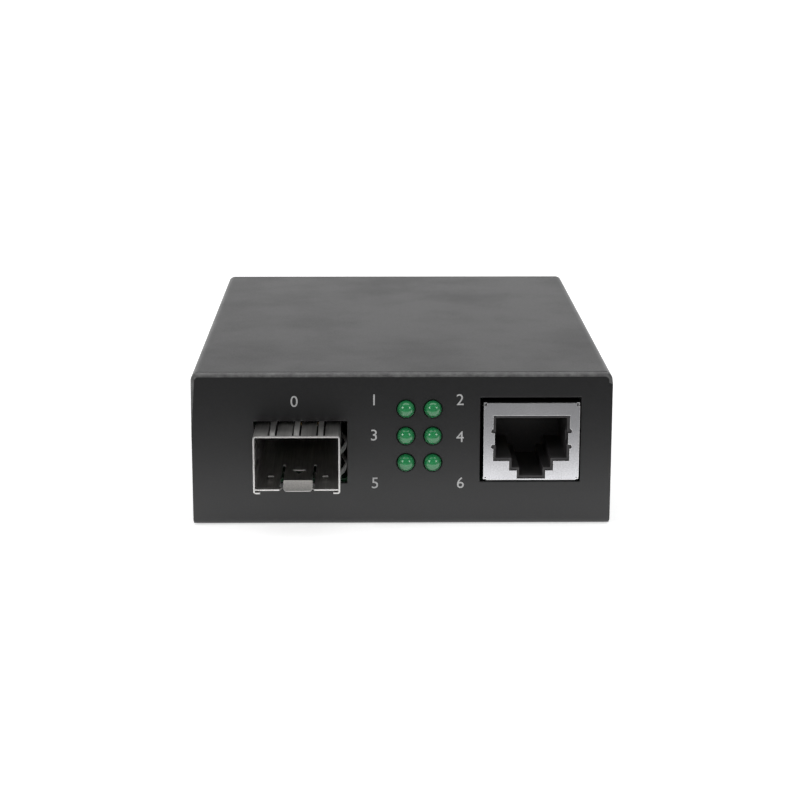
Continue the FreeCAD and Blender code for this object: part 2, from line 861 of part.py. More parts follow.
def sfp_cage_shell():
    """One folded sheet: roof, sides hooked under the floor, back flap, spring fingers, pins."""
    shell = body("cage_shell_body")
    left = "-cage_offset - cage_width/2"
    right = "-cage_offset + cage_width/2"

    def profile(draw):
        hook_top = f"{BOARD_TOP} + cage_sheet"
        draw.square([
            (f"{left} + cage_hook", BOARD_TOP), (left, BOARD_TOP), (left, CAGE_TOP),
            (right, CAGE_TOP), (right, BOARD_TOP), (f"{right} - cage_hook", BOARD_TOP),
            (f"{right} - cage_hook", hook_top), (f"{right} - cage_sheet", hook_top),
            (f"{right} - cage_sheet", f"{CAGE_TOP} - cage_sheet"),
            (f"{left} + cage_sheet", f"{CAGE_TOP} - cage_sheet"),
            (f"{left} + cage_sheet", hook_top), (f"{left} + cage_hook", hook_top),
        ], {k: "cage_bend" if k < 6 else "cage_bend - cage_sheet" for k in (1, 2, 3, 4, 7, 8, 9, 10)})

    pad(shell, "roof_and_sides", FRONT, CAGE_LIP, CAGE_REAR, profile)

    def back(draw):
        draw.square(rectangle((f"{left} + cage_sheet", f"{right} - cage_sheet"),
                              (f"{CAGE_TOP} - cage_back_drop", f"{CAGE_TOP} - cage_sheet")))

    pad(shell, "back_flap", FRONT, f"{CAGE_REAR} - cage_sheet", CAGE_REAR, back)

    slot = (f"{CAGE_LIP} + finger_root", f"{CAGE_LIP} + finger_root + finger_length + finger_gap")
    spread = "finger_width/2 + finger_gap"

    def roof_slots(draw):
        for k in (-1, 0, 1):
            middle = f"-cage_offset + {k}*finger_pitch"
            draw.square(rectangle((f"{middle} - ({spread})", f"{middle} + {spread}"), slot))

    pocket(shell, "roof_slots", FLAT, f"{CAGE_TOP} - cage_sheet - cut_over", f"{CAGE_TOP} + cut_over",
           roof_slots)

    def side_slots(draw):
        for height in side_finger_heights():
            draw.square(rectangle(slot, (f"{height} - ({spread})", f"{height} + {spread}")))

    pocket(shell, "side_slots", SIDE, f"{left} - cut_over", f"{right} + cut_over", side_slots)

    pins = []
    for k, (x, y) in enumerate(cage_pin_places()):
        pins.append(box(f"cage_pin_{k}", (f"{x} - cage_sheet/2", f"{x} + cage_sheet/2"),
                        (f"{y} - cage_pin_width/2", f"{y} + cage_pin_width/2"),
                        (f"{BOARD_TOP} - cage_pin_length", f"{BOARD_TOP} + cage_bend")))
    fingers = shape("spring_fingers", Part.makeCompound(cage_fingers()))
    return node("sfp_cage_shell", fuse("cage_shell", [shell, fingers] + pins))


def sfp_cage_floor():
    """The cage's floor: a separate sheet with the latch tongue and two lanced stops."""
    floor = body("cage_floor_body")
    left = "-cage_offset - cage_width/2 + cage_sheet"
    right = "-cage_offset + cage_width/2 - cage_sheet"
    front = f"{CAGE_LIP} + cage_floor_set_back"
    rear = f"{front} + cage_floor_length"
    tongue_front = f"{CAGE_LIP} + tongue_set_back"
    tongue_root = f"{tongue_front} + tongue_length"
    tongue_half = "tongue_width/2"
    gap_half = "tongue_width/2 + tongue_slit"

    def plate(draw):
        mouth = "mouth_width/2"
        narrow = "mouth_width/2 - mouth_slope"
        draw.corners([
            (left, front), (f"-cage_offset - {mouth}", front),
            (f"-cage_offset - ({narrow})", f"{front} + mouth_depth"),
            (f"-cage_offset - ({gap_half})", f"{front} + mouth_depth"),
            (f"-cage_offset - ({gap_half})", tongue_root), (f"-cage_offset - {tongue_half}", tongue_root),
            (f"-cage_offset - {tongue_half}", tongue_front), (f"-cage_offset + {tongue_half}", tongue_front),
            (f"-cage_offset + {tongue_half}", tongue_root), (f"-cage_offset + {gap_half}", tongue_root),
            (f"-cage_offset + {gap_half}", f"{front} + mouth_depth"),
            (f"-cage_offset + {narrow}", f"{front} + mouth_depth"),
            (f"-cage_offset + {mouth}", front), (right, front), (right, rear), (left, rear),
        ])

    pad(floor, "plate", FLAT, CAGE_FLOOR, f"{CAGE_FLOOR} + cage_sheet", plate)

    def window(draw):
        start = f"{tongue_front} + latch_window_back"
        draw.corners([
            ("-cage_offset - latch_window/2", f"{start} + latch_window"),
            ("-cage_offset", start),
            ("-cage_offset + latch_window/2", f"{start} + latch_window"),
        ])

    pocket(floor, "latch_window", FLAT, f"{CAGE_FLOOR} - cut_over", f"{CAGE_FLOOR} + cage_sheet + cut_over",
           window)

    thick = value("cage_sheet")
    y = value(tongue_front)
    z = value(CAGE_FLOOR)
    run_out = value("tongue_tip_run")
    tip = folded([(y - run_out, z - value("tongue_tip")), (y, z), (y + thick, z)], thick,
                 value("tongue_width"), value("-cage_offset"))
    ends = [edge for edge in tip.Edges if edge.Length < 2 * thick]
    ends.sort(key=lambda edge: edge.CenterOfMass.z)
    tip = tip.makeFillet(value("tongue_tip_corner"), ends[:2])
    pieces = [floor, shape("tongue_tip_fold", tip)]
    for side in (-1, 1):
        x = value(f"-cage_offset + {side}*lance_spread/2")
        back = value(f"{CAGE_LIP} + lance_back")
        foot = z + thick - value("insert_gap")
        lance = folded([(back, foot + value("lance_rise")), (back + value("lance_length"), foot)],
                       value("lance_sheet"), value("lance_width"), x)
        pieces.append(shape(f"lance_{side + 1}", lance))
    return node("sfp_cage_floor", fuse("cage_floor", pieces))


# --- connector inside the cage ------------------------------------------------------------

BLOCK_REAR = f"{CAGE_REAR} - cage_sheet - sfp_block_rear_gap"
BLOCK_FRONT = f"{BLOCK_REAR} - sfp_block_length"


def sfp_contact_rows():
    """Twenty contacts in two rows, half a pitch apart, with their tails on the board behind the block."""
    contacts = []
    foot = value(BOARD_TOP)
    for row, lift in enumerate(("sfp_mouth_rise", "sfp_mouth_rise + sfp_mouth_height - sfp_contact_sheet")):
        start = value(f"{BLOCK_FRONT} + sfp_contact_set_back")
        drop = value(f"{BLOCK_REAR} + sfp_contact_clear + {row}*2*sfp_contact_sheet")
        path = [(start, value(f"{BOARD_TOP} + {lift}")), (drop, value(f"{BOARD_TOP} + {lift}")), (drop, foot)]
        for k in range(CAGE_CONTACTS):
            place = f"-cage_offset + ({k} - {(CAGE_CONTACTS - 1) / 2})*sfp_contact_pitch"
            across = value(f"{place} + ({row} - 0.5)*sfp_contact_pitch/2")
            contacts.append(folded(path, value("sfp_contact_sheet"), value("sfp_contact_width"), across))
    return shape("sfp_contact_set", Part.makeCompound(contacts))


def sfp_connector():
    """The block that takes the transceiver's card edge, and its contacts."""
    block = body("connector_block_body")

    def outside(draw):
        draw.square(rectangle(("-cage_offset - sfp_block_width/2", "-cage_offset + sfp_block_width/2"),
                              (BOARD_TOP, f"{BOARD_TOP} + sfp_block_rise")))

    pad(block, "block", FRONT, BLOCK_FRONT, BLOCK_REAR, outside)

    def mouth(draw):
        floor = f"{BOARD_TOP} + sfp_mouth_rise"
        draw.square(rectangle(("-cage_offset - sfp_mouth_width/2", "-cage_offset + sfp_mouth_width/2"),
                              (floor, f"{floor} + sfp_mouth_height")))

    pocket(block, "card_mouth", FRONT, f"{BLOCK_FRONT} - cut_over", f"{BLOCK_FRONT} + sfp_mouth_depth", mouth)
    contacts = sfp_contact_rows()
    node("sfp_connector_housing", cut("connector_with_channels", block, [contacts]))
    node("sfp_connector_contacts", contacts)


# --- network jack -------------------------------------------------------------------------

def shield_pin_places():
    sides = [f"jack_offset {sign} (jack_width - jack_sheet)/2" for sign in "-+"]
    return [(x, f"{JACK_FACE} + shield_pin_back") for x in sides]


def window_steps(inset):
    """The stepped opening for a plug, drawn in by an inset all round."""
    top = f"{JACK_TOP} - window_top_bar - ({inset})"
    shoulder = f"{JACK_FOOT} + window_shoulder + {inset}"
    keyway = f"{JACK_FOOT} + window_keyway + {inset}"
    bottom = f"{JACK_FOOT} + jack_sheet + {inset}"
    half = f"window_width/2 - ({inset})"
    key_half = f"window_keyway_width/2 - ({inset})"
    mouth_half = f"window_mouth_width/2 - ({inset})"
    right = [(f"jack_offset + {mouth_half}", bottom), (f"jack_offset + {mouth_half}", keyway),
             (f"jack_offset + {key_half}", keyway), (f"jack_offset + {key_half}", shoulder),
             (f"jack_offset + {half}", shoulder), (f"jack_offset + {half}", top)]
    left = [(f"jack_offset - ({half})", top), (f"jack_offset - ({half})", shoulder),
            (f"jack_offset - ({key_half})", shoulder), (f"jack_offset - ({key_half})", keyway),
            (f"jack_offset - ({mouth_half})", keyway), (f"jack_offset - ({mouth_half})", bottom)]
    return right + left


TAB_HIGH = f"{JACK_TOP} - window_tab_top"
TAB_LOW = f"{JACK_TOP} - window_tab_top - window_tab_length"
BOTTOM_PLATE_REAR = f"{JACK_FACE} + shield_floor_length"
SHIELD_FRONT_CUT = (f"{JACK_FACE} - cut_over", f"{JACK_FACE} + jack_sheet + insert_gap")


def rj45_shield():
    """Folded tin box round the jack, with the stepped window and its two spring tabs."""
    shield = body("shield_body")
    left = "jack_offset - jack_width/2"
    right = "jack_offset + jack_width/2"
    rear = f"{JACK_FACE} + jack_length"

    def outside(draw):
        draw.square(rectangle((left, right), (JACK_FOOT, JACK_TOP)))

    pad(shield, "outer_box", FRONT, JACK_FACE, rear, outside)

    def inside(draw):
        draw.square(rectangle((f"{left} + jack_sheet", f"{right} - jack_sheet"),
                              (f"{JACK_FOOT} + jack_sheet", f"{JACK_TOP} - jack_sheet")))

    pocket(shield, "inner_space", FRONT, f"{JACK_FACE} + jack_sheet", f"{rear} - jack_sheet", inside)

    def underside(draw):
        draw.square(rectangle((f"{left} + jack_sheet", f"{right} - jack_sheet"),
                              (BOTTOM_PLATE_REAR, f"{rear} + cut_over")))

    pocket(shield, "open_underside", FLAT, f"{JACK_FOOT} - cut_over", f"{JACK_FOOT} + jack_sheet + insert_gap",
           underside)

    def window(draw):
        draw.square(window_steps("0"))

    pocket(shield, "window", FRONT, *SHIELD_FRONT_CUT, window)

    def notches(draw):
        for side in "-+":
            for height in (TAB_HIGH, TAB_LOW):
                draw.circle(f"jack_offset {side} window_width/2", height, "window_tab_notch")

    pocket(shield, "tab_notches", FRONT, *SHIELD_FRONT_CUT, notches)

    def corners(draw):
        size, past = "jack_corner_notch", "cut_over"
        for x in ((f"{left} - {past}", f"{left} + {size}"), (f"{right} - {size}", f"{right} + {past}")):
            for z in ((f"{JACK_FOOT} - {past}", f"{JACK_FOOT} + {size}"),
                      (f"{JACK_TOP} - {size}", f"{JACK_TOP} + {past}")):
                draw.square(rectangle(x, z))

    pocket(shield, "corner_notches", FRONT, f"{JACK_FACE} - cut_over", f"{JACK_FACE} + jack_corner_notch",
           corners)

    pieces = [shield]
    for side in (-1, 1):
        edge = f"jack_offset + {side}*window_width/2"
        inner = f"jack_offset + {side}*(window_width/2 - jack_sheet)"
        tab = (inner, edge) if side > 0 else (edge, inner)
        pieces.append(box(f"window_tab_{side + 1}", tab, (JACK_FACE, f"{JACK_FACE} + window_tab_depth"),
                          (f"{TAB_LOW} + window_tab_notch/2", f"{TAB_HIGH} - window_tab_notch/2")))
    for k, (x, y) in enumerate(shield_pin_places()):
        pieces.append(box(f"shield_pin_{k}", (f"{x} - jack_sheet/2", f"{x} + jack_sheet/2"),
                          (f"{y} - shield_pin_width/2", f"{y} + shield_pin_width/2"),
                          (f"{BOARD_TOP} - shield_pin_length", f"{JACK_FOOT} + shield_pin_overlap")))
    return node("rj45_shield", fuse("jack_shield", pieces))


def rj45_housing():
    """Moulded insert: the plug's stepped cavity, on a foot that rests on the board."""
    insert = body("insert_body")
    left = "jack_offset - jack_width/2 + jack_sheet + insert_gap"
    right = "jack_offset + jack_width/2 - jack_sheet - insert_gap"
    front = f"{JACK_FACE} + jack_sheet + insert_gap"
    rear = f"{JACK_FACE} + jack_length - jack_sheet - insert_gap"
    floor = f"{JACK_FOOT} + jack_sheet"

    def outside(draw):
        draw.square(rectangle((left, right), (floor, f"{JACK_TOP} - jack_sheet")))

    pad(insert, "moulding", FRONT, front, rear, outside)

    def foot(draw):
        draw.square(rectangle((left, right), (BOARD_TOP, floor)))

    pad(insert, "foot", FRONT, f"{BOTTOM_PLATE_REAR} + insert_gap", rear, foot)

    def cavity(draw):
        draw.square(window_steps("insert_lip"))

    pocket(insert, "cavity", FRONT, f"{front} - cut_over", f"{front} + insert_depth", cavity)

    def tab_slots(draw):
        z = (f"{TAB_LOW} + window_tab_notch/2 - insert_gap", f"{TAB_HIGH} - window_tab_notch/2 + insert_gap")
        near = "window_width/2 - insert_lip - insert_gap"
        far = "window_width/2 + insert_gap"
        draw.square(rectangle((f"jack_offset - ({far})", f"jack_offset - ({near})"), z))
        draw.square(rectangle((f"jack_offset + {near}", f"jack_offset + {far}"), z))

    pocket(insert, "tab_slots", FRONT, f"{front} - cut_over", f"{JACK_FACE} + window_tab_depth + insert_gap",
           tab_slots)
    return node("rj45_housing", insert)


def rj45_contacts():
    """Eight sprung contacts that run along the cavity's roof, turn at its mouth and lean back."""
    roof = value(f"{JACK_TOP} - window_top_bar - insert_lip")
    rear = value(f"{JACK_FACE} + jack_sheet + insert_gap + insert_depth")
    turn = value(f"{JACK_FACE} + jack_contact_set_back")
    loop = value("jack_contact_loop")
    tip = (turn + value("jack_contact_lean"), roof - value("jack_contact_drop"))
    path = [(rear, roof), (turn, roof), (turn - loop / 2, roof - loop / 3),
            (turn - loop / 2, roof - loop * 2 / 3), (turn, roof - loop), tip]
    contacts = []
    for k in range(JACK_CONTACTS):
        across = value(f"jack_offset + ({k} - {(JACK_CONTACTS - 1) / 2})*jack_contact_pitch")
        contacts.append(folded(path, value("jack_contact_sheet"), value("jack_contact_width"), across))
    return node("rj45_contacts", shape("jack_contact_set", Part.makeCompound(contacts)))


# --- indicator lamps ----------------------------------------------------------------------

LAMP_TIP = f"{PANEL_FACE} - lamp_reach"
LAMP_BASE = f"{PANEL_FACE} - lamp_reach + lamp_length"
HOLDER_FRONT = f"{PANEL_BACK} + lamp_holder_gap"


def lead_bend(row):
    return f"{LAMP_BASE} + lead_first_bend + {row}*lead_step"


def lead_places():
    return [(f"{column} {sign} lead_pitch", f"{lead_bend(row)} + lead_width/2")
            for column, height, row in lamp_places() for sign in "-+"]


def lamp_holder():
    """One moulded block that stands on the board and holds the six lamps behind the panel."""
    holder = body("holder_body")
    rear = f"{HOLDER_FRONT} + lamp_holder_depth"
    top = f"lamp_row_bottom + {LAMP_ROWS - 1}*lamp_row_pitch + lamp_holder_margin"

    def block(draw):
        sides = ("lamp_column_left - lamp_holder_margin", "lamp_column_right + lamp_holder_margin")
        draw.square(rectangle(sides, (BOARD_TOP, top)))

    pad(holder, "block", FRONT, HOLDER_FRONT, rear, block)

    def cells(draw):
        half = "lamp_width/2 + insert_gap"
        for column, height, row in lamp_places():
            draw.square(rectangle((f"{column} - ({half})", f"{column} + {half}"),
                                  (f"{height} - ({half})", f"{height} + {half}")))

    # each lamp sits in a square cell against its rear wall
    pocket(holder, "lamp_cells", FRONT, f"{HOLDER_FRONT} - cut_over", LAMP_BASE, cells)

    def lead_slits(draw):
        wide = "lead_pitch + lead_width/2 + lead_hole_gap"
        tall = "lead_width/2 + lead_hole_gap"
        for column, height, row in lamp_places():
            draw.square(rectangle((f"{column} - ({wide})", f"{column} + {wide}"),
                                  (f"{height} - ({tall})", f"{height} + {tall}")))

    pocket(holder, "lead_slits", FRONT, LAMP_BASE, f"{rear} + cut_over", lead_slits)
    return node("led_holder", holder)


def dome_ring(step):
    """Width and place of one edge of a lamp's dome, which is turned in straight steps from the
    barrel to a small flat tip."""
    width = f"lamp_width*cos({step}*lamp_dome_turn)"
    rise = f"sin({step}*lamp_dome_turn)/sin({DOME_STEPS}*lamp_dome_turn)"
    return width, f"{LAMP_TIP} + lamp_width/2*(1 - {rise})"


def lamps():
    """Six domed lamps and the pair of leads behind each."""
    base = value(LAMP_BASE)
    thick = value("lead_width")
    end = value(f"{BOARD_UNDER} - lead_end")
    for number, (column, height, row) in enumerate(lamp_places(), 1):
        centre = (column, height)
        pieces = [cylinder(f"lamp_barrel_{number}", "y", "lamp_width", centre, dome_ring(0)[1], LAMP_BASE)]
        for step in range(DOME_STEPS):
            (outer, back), (inner, front) = dome_ring(step), dome_ring(step + 1)
            pieces.append(cone(f"lamp_dome_{number}_{step}", "y", inner, outer, centre, front, back))
        node(f"led_lens_{number}", fuse(f"lamp_{number}", pieces))
        middle = value(height)
        bend = value(lead_bend(row))
        path = [(base, middle - thick / 2), (bend, middle - thick / 2), (bend, end)]
        leads = [folded(path, thick, thick, value(f"{column} {sign} lead_pitch")) for sign in "-+"]
        node(f"led_leads_{number}", shape(f"lamp_leads_{number}", Part.makeCompound(leads)))


# --- power inlet --------------------------------------------------------------------------

INLET_AXIS = f"{BOARD_TOP} + inlet_bore_rise"
CHANNEL_FLOOR = f"{INLET_AXIS} - inlet_bore/2 - inlet_channel_depth"


def inlet_terminal_places():
    backs = (f"{INLET_FACE} - inlet_length + inlet_terminal_back", f"{INLET_FACE} - inlet_spring_length")
    return [("-inlet_offset", back) for back in backs]


def dc_inlet():
    """Board-mounted inlet: moulded block, centre pin, side spring and two terminals."""
    block = body("inlet_body")
    half = "inlet_width/2"
    neck = "inlet_width/2 - inlet_step/2"

    def flange(draw):
        draw.square(rectangle((f"-inlet_offset - {half}", f"-inlet_offset + {half}"),
                              (BOARD_TOP, f"{BOARD_TOP} + inlet_rise")))

    pad(block, "flange", FRONT, f"{INLET_FACE} - inlet_flange", INLET_FACE, flange)

    def barrel(draw):
        draw.square(rectangle((f"-inlet_offset - ({neck})", f"-inlet_offset + {neck}"),
                              (BOARD_TOP, f"{INLET_AXIS} + {neck}")), {k: f"({neck})*{NEARLY}" for k in (2, 3)})

    pad(block, "barrel", FRONT, f"{INLET_FACE} - inlet_length", f"{INLET_FACE} - inlet_flange", barrel)

    def bore(draw):
        draw.circle("-inlet_offset", INLET_AXIS, "inlet_bore")

    # the socket opens to the rear, so the bore is cut from its floor outward
    pocket(block, "socket", FRONT, f"{INLET_FACE} - inlet_bore_depth", f"{INLET_FACE} + cut_over", bore)

    def channel(draw):
        side = "inlet_terminal_width/2 + inlet_channel_gap"
        draw.square(rectangle((f"-inlet_offset - ({side})", f"-inlet_offset + {side}"),
                              (CHANNEL_FLOOR, INLET_AXIS)))

    pocket(block, "spring_channel", FRONT, f"{INLET_FACE} - inlet_spring_length - inlet_spring_end",
           f"{INLET_FACE} - inlet_channel_shy", channel)
    node("dc_inlet_housing", block)

    centre = ("-inlet_offset", INLET_AXIS)
    floor = f"{INLET_FACE} - inlet_bore_depth"
    node("dc_inlet_pin", cylinder("inlet_pin_shaft", "y", "inlet_pin", centre, floor,
                                  f"{INLET_FACE} - inlet_pin_shy"))

    low = value(CHANNEL_FLOOR)
    back = value(f"{INLET_FACE} - inlet_spring_length - inlet_spring_end")
    crest = back + value("inlet_spring_crest")
    end = back + value("inlet_spring_length - inlet_spring_end")
    path = [(back, low), (back + value("inlet_spring_flat"), low), (crest, low + value("inlet_spring_bow")),
            (end, low + value("inlet_channel_gap"))]
    spring = folded(path, value("inlet_terminal_sheet"), value("inlet_terminal_width"),
                    value("-inlet_offset"))
    node("dc_inlet_spring", shape("inlet_spring_leaf", spring))

    half_wide, half_thick = "inlet_terminal_width/2", "inlet_terminal_sheet/2"
    terminals = [box(f"inlet_terminal_{k}", (f"{x} - {half_wide}", f"{x} + {half_wide}"),
                     (f"{y} - {half_thick}", f"{y} + {half_thick}"),
                     (f"{BOARD_TOP} - cage_pin_length", BOARD_TOP))
                 for k, (x, y) in enumerate(inlet_terminal_places())]
    node("dc_inlet_terminals", group("inlet_terminal_set", terminals))


# --- parts on the board -------------------------------------------------------------------

def block_on_board(name, x, y, width, length, rise, lift="chip_lift", edge="chip_edge"):
    """A moulded package: a box with its upper edges broken."""
    block = box(name + "_block", (f"{x} - ({width})/2", f"{x} + ({width})/2"),
                (f"{y} - ({length})/2", f"{y} + ({length})/2"),
                (f"{BOARD_TOP} + {lift}", f"{BOARD_TOP} + {lift} + {rise}"))
    doc.recompute()
    top = [k for k, face in enumerate(block.Shape.Faces, 1) if face.normalAt(0, 0).z > 0.9][0]
    rim = block.Shape.Faces[top - 1].Edges
    chamfer = doc.addObject("Part::Chamfer", name + "_bevelled")
    chamfer.Base = block
    chamfer.Edges = [(k, value(edge), value(edge)) for k, side in enumerate(block.Shape.Edges, 1)
                     if any(side.isSame(other) for other in rim)]
    return chamfer


def gull_wings(count, half, lift):
    """A row of gull-wing pins that leave a package at x, centred on the origin, towards +Y."""
    edge = value(half)
    foot = value(BOARD_TOP)
    level = foot + value(lift)
    path = [(edge, level), (edge + value("pin_shoulder"), level), (edge + value("pin_knee"), foot),
            (edge + value("pin_reach"), foot)]
    pitch = value("pin_pitch")
    return [folded(path, value("pin_sheet"), value("pin_width"), (k - (count - 1) / 2) * pitch)
            for k in range(count)]


def placed_pins(name, pins, angles, x, y):
    """Rows of pins turned to the sides of a package and set beside it."""
    row = Part.makeCompound(pins)
    rows = [moved(turned(row, angle), value(x), value(y), 0) for angle in angles]
    return shape(name, Part.makeCompound(rows))


def chips():
    node("controller_chip", block_on_board("controller", "controller_x", "controller_y", "controller_width",
                                           "controller_width", "controller_rise", lift="0"))
    node("bridge_chip", block_on_board("bridge", "bridge_x", "bridge_y", "bridge_width", "bridge_width",
                                       "bridge_rise", lift="0"))
    node("line_transformer", block_on_board("transformer", "transformer_x", "transformer_y",
                                            "transformer_width", "transformer_length", "transformer_rise",
                                            edge="transformer_edge"))
    pins = gull_wings(TRANSFORMER_PINS, "transformer_length/2", "transformer_pin_level")
    node("transformer_pins", placed_pins("transformer_pin_rows", pins, (0, 180),
                                         "transformer_x", "transformer_y"))
    node("memory_chip", block_on_board("memory", "memory_x", "memory_y", "memory_length", "memory_width",
                                       "memory_rise"))
    pins = gull_wings(4, "memory_width/2", "memory_rise/2")
    node("memory_pins", placed_pins("memory_pin_rows", pins, (0, 180), "memory_x", "memory_y"))
    node("voltage_regulator", block_on_board("regulator", "regulator_x", "regulator_y", "regulator_width",
                                             "regulator_length", "regulator_rise"))
    pins = gull_wings(3, "regulator_length/2", "regulator_rise/2")
    node("regulator_pins", placed_pins("regulator_pin_rows", pins, (0, 180), "regulator_x", "regulator_y"))
    node("fuse", block_on_board("fuse", "fuse_x", "fuse_y", "fuse_width", "fuse_length", "fuse_rise",
                                lift="0"))


def crystal():
    """Low metal can with round ends."""
    can = body("crystal_body")

    def outline(draw):
        draw.square(rectangle(("crystal_x - crystal_width/2", "crystal_x + crystal_width/2"),
                              ("crystal_y - crystal_depth/2", "crystal_y + crystal_depth/2")),
                    {k: f"crystal_depth/2*{NEARLY}" for k in range(4)})

    pad(can, "can", FLAT, BOARD_TOP, f"{BOARD_TOP} + crystal_rise", outline)
    return node("crystal", can)


def power_parts():
    """Inductor with its winding, and two electrolytic cans on their bases."""
    centre = ("inductor_x", "inductor_y")
    flanges = [box(f"inductor_flange_{k}", ("inductor_x - inductor_width/2", "inductor_x + inductor_width/2"),
                   ("inductor_y - inductor_width/2", "inductor_y + inductor_width/2"), levels)
               for k, levels in enumerate((
                   (BOARD_TOP, f"{BOARD_TOP} + inductor_flange"),
                   (f"{BOARD_TOP} + inductor_rise - inductor_flange", f"{BOARD_TOP} + inductor_rise")))]
    post = [(f"inductor_{axis} - inductor_winding/4", f"inductor_{axis} + inductor_winding/4")
            for axis in "xy"]
    core = box("inductor_core_post", *post, (BOARD_TOP, f"{BOARD_TOP} + inductor_rise"))
    node("inductor_core", fuse("inductor_core_whole", flanges + [core]))
    levels = (f"{BOARD_TOP} + inductor_flange", f"{BOARD_TOP} + inductor_rise - inductor_flange")
    outside = cylinder("winding_outside", "z", "inductor_winding", centre, *levels)
    hollow = box("winding_hollow", *post, levels)
    node("inductor_winding", cut("winding_ring", outside, [hollow]))
    for role in ("input", "output"):
        width = f"{role}_can"
        spot = (f"{role}_can_x", f"{role}_can_y")
        base_top = f"{BOARD_TOP} + can_base_rise"
        node(f"{role}_capacitor_base", block_on_board(f"{role}_base", *spot, width, width, "can_base_rise",
                                                      lift="0", edge="can_base_edge"))
        node(f"{role}_capacitor", cylinder(f"{role}_can", "z", width, spot, base_top,
                                           f"{BOARD_TOP} + {role}_can_rise"))


def passives():
    """Small two-ended parts in rows: capacitors on two sides of the controller, and resistors in
    front of the memory and behind the bridge."""
    def row(kind, count, x, y, step_x, step_y, along_x):
        size = ("passive_length", "passive_width") if along_x else ("passive_width", "passive_length")
        return [box(f"{kind}_{x}_{y}_{k}".replace(" ", "").replace("/", "_"),
                    [f"{x} + ({k} - {(count - 1) / 2})*({step_x}) {sign} {size[0]}/2" for sign in "-+"],
                    [f"{y} + ({k} - {(count - 1) / 2})*({step_y}) {sign} {size[1]}/2" for sign in "-+"],
                    (BOARD_TOP, f"{BOARD_TOP} + passive_rise")) for k in range(count)]

    edge = "(controller_width/2 + passive_row_gap)"
    capacitors = [piece for sign in "-+" for piece in
                  row("capacitor", 4, "controller_x", f"controller_y {sign} {edge}", "passive_pitch", "0", True)]
    resistors = row("resistor", 5, "memory_x", "memory_y - memory_width - resistor_gap",
                    "resistor_pitch", "0", False)
    resistors += row("resistor", 4, "bridge_x", "bridge_y + bridge_width/2 + passive_row_gap",
                     "resistor_pitch", "0", False)
    node("chip_capacitors", group("capacitor_rows", capacitors))
    node("chip_resistors", group("resistor_rows", resistors))


# --- the whole object ---------------------------------------------------------------------

def build():
    chassis_tray()
    top_cover()
    cover_screws()
    board_standoffs()
    board_screws()
    circuit_board()
    sfp_cage_shell()
    sfp_cage_floor()
    sfp_connector()
    rj45_shield()
    rj45_housing()
    rj45_contacts()
    lamp_holder()
    lamps()
    dc_inlet()
    chips()
    crystal()
    power_parts()
    passives()


def check():
    doc.recompute()
    for thing in doc.Objects:
        if {"Invalid", "Error"} & set(thing.State):
            raise RuntimeError(f"{thing.Name} did not build")
    for name, piece in NODES:
        if piece.Shape.isNull() or not piece.Shape.isValid():
            raise RuntimeError(f"{name} is not a sound shape")


def write():
    os.makedirs("parts", exist_ok=True)
    for name, piece in NODES:
        piece.Shape.exportStep(f"parts/{name}.step")
        print(f"{name}: {len(piece.Shape.Solids)} solid(s), {piece.Shape.Volume:.1f} cubic mm")


build()
check()
write()
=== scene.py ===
import json
import math

import bpy
import bmesh
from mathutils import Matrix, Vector


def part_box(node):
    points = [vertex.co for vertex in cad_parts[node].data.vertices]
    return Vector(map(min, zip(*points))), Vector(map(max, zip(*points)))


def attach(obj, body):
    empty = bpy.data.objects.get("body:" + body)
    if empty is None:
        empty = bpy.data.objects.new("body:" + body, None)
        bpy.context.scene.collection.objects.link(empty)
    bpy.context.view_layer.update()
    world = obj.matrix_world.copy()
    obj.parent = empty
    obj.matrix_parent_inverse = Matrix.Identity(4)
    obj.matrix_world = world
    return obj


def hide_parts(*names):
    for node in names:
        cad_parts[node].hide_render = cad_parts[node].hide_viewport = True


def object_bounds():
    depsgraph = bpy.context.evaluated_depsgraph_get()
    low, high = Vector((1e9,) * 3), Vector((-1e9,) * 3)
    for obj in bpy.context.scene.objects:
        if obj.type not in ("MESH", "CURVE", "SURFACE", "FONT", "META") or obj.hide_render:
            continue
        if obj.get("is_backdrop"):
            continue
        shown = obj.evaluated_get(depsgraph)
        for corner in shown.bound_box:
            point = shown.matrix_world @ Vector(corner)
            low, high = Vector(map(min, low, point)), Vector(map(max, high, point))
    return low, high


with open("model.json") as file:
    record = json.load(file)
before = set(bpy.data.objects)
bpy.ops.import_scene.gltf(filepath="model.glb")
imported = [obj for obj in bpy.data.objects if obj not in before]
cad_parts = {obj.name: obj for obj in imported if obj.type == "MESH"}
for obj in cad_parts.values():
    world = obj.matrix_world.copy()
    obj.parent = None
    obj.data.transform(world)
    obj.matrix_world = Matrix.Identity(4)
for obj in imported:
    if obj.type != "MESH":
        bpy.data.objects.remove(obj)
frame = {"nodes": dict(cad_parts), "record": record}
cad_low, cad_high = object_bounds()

# The looks of a fibre media converter: satin black folded sheet, a satin nickel transceiver cage,
# a tinned network jack, six green lamps, and the dressed circuit board that shows through the
# ports and vents. Metres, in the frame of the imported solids.

MM = 0.001
scene = bpy.context.scene
nodes = frame["nodes"]
slot_of = {part["node"]: part["material_slot"] for part in frame["record"]["subparts"]}

tray_low, tray_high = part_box("chassis_tray")
cage_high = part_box("sfp_cage_shell")[1]
lens_boxes = {number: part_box(f"led_lens_{number}") for number in "123456"}


def placed(name, data):
    """An object of its own in the scene for a mesh, curve, camera or lamp."""
    thing = bpy.data.objects.new(name, data)
    scene.collection.objects.link(thing)
    return thing


# --- camera --------------------------------------------------------------------------------

CAMERA_PLACE = Vector((-4.9, -368.3, 98.55)) * MM
CAMERA_PITCH, CAMERA_ROLL, CAMERA_YAW = 13.46, -0.07, -0.80
CAMERA_LENS = 89.3
CAMERA_SENSOR = 36

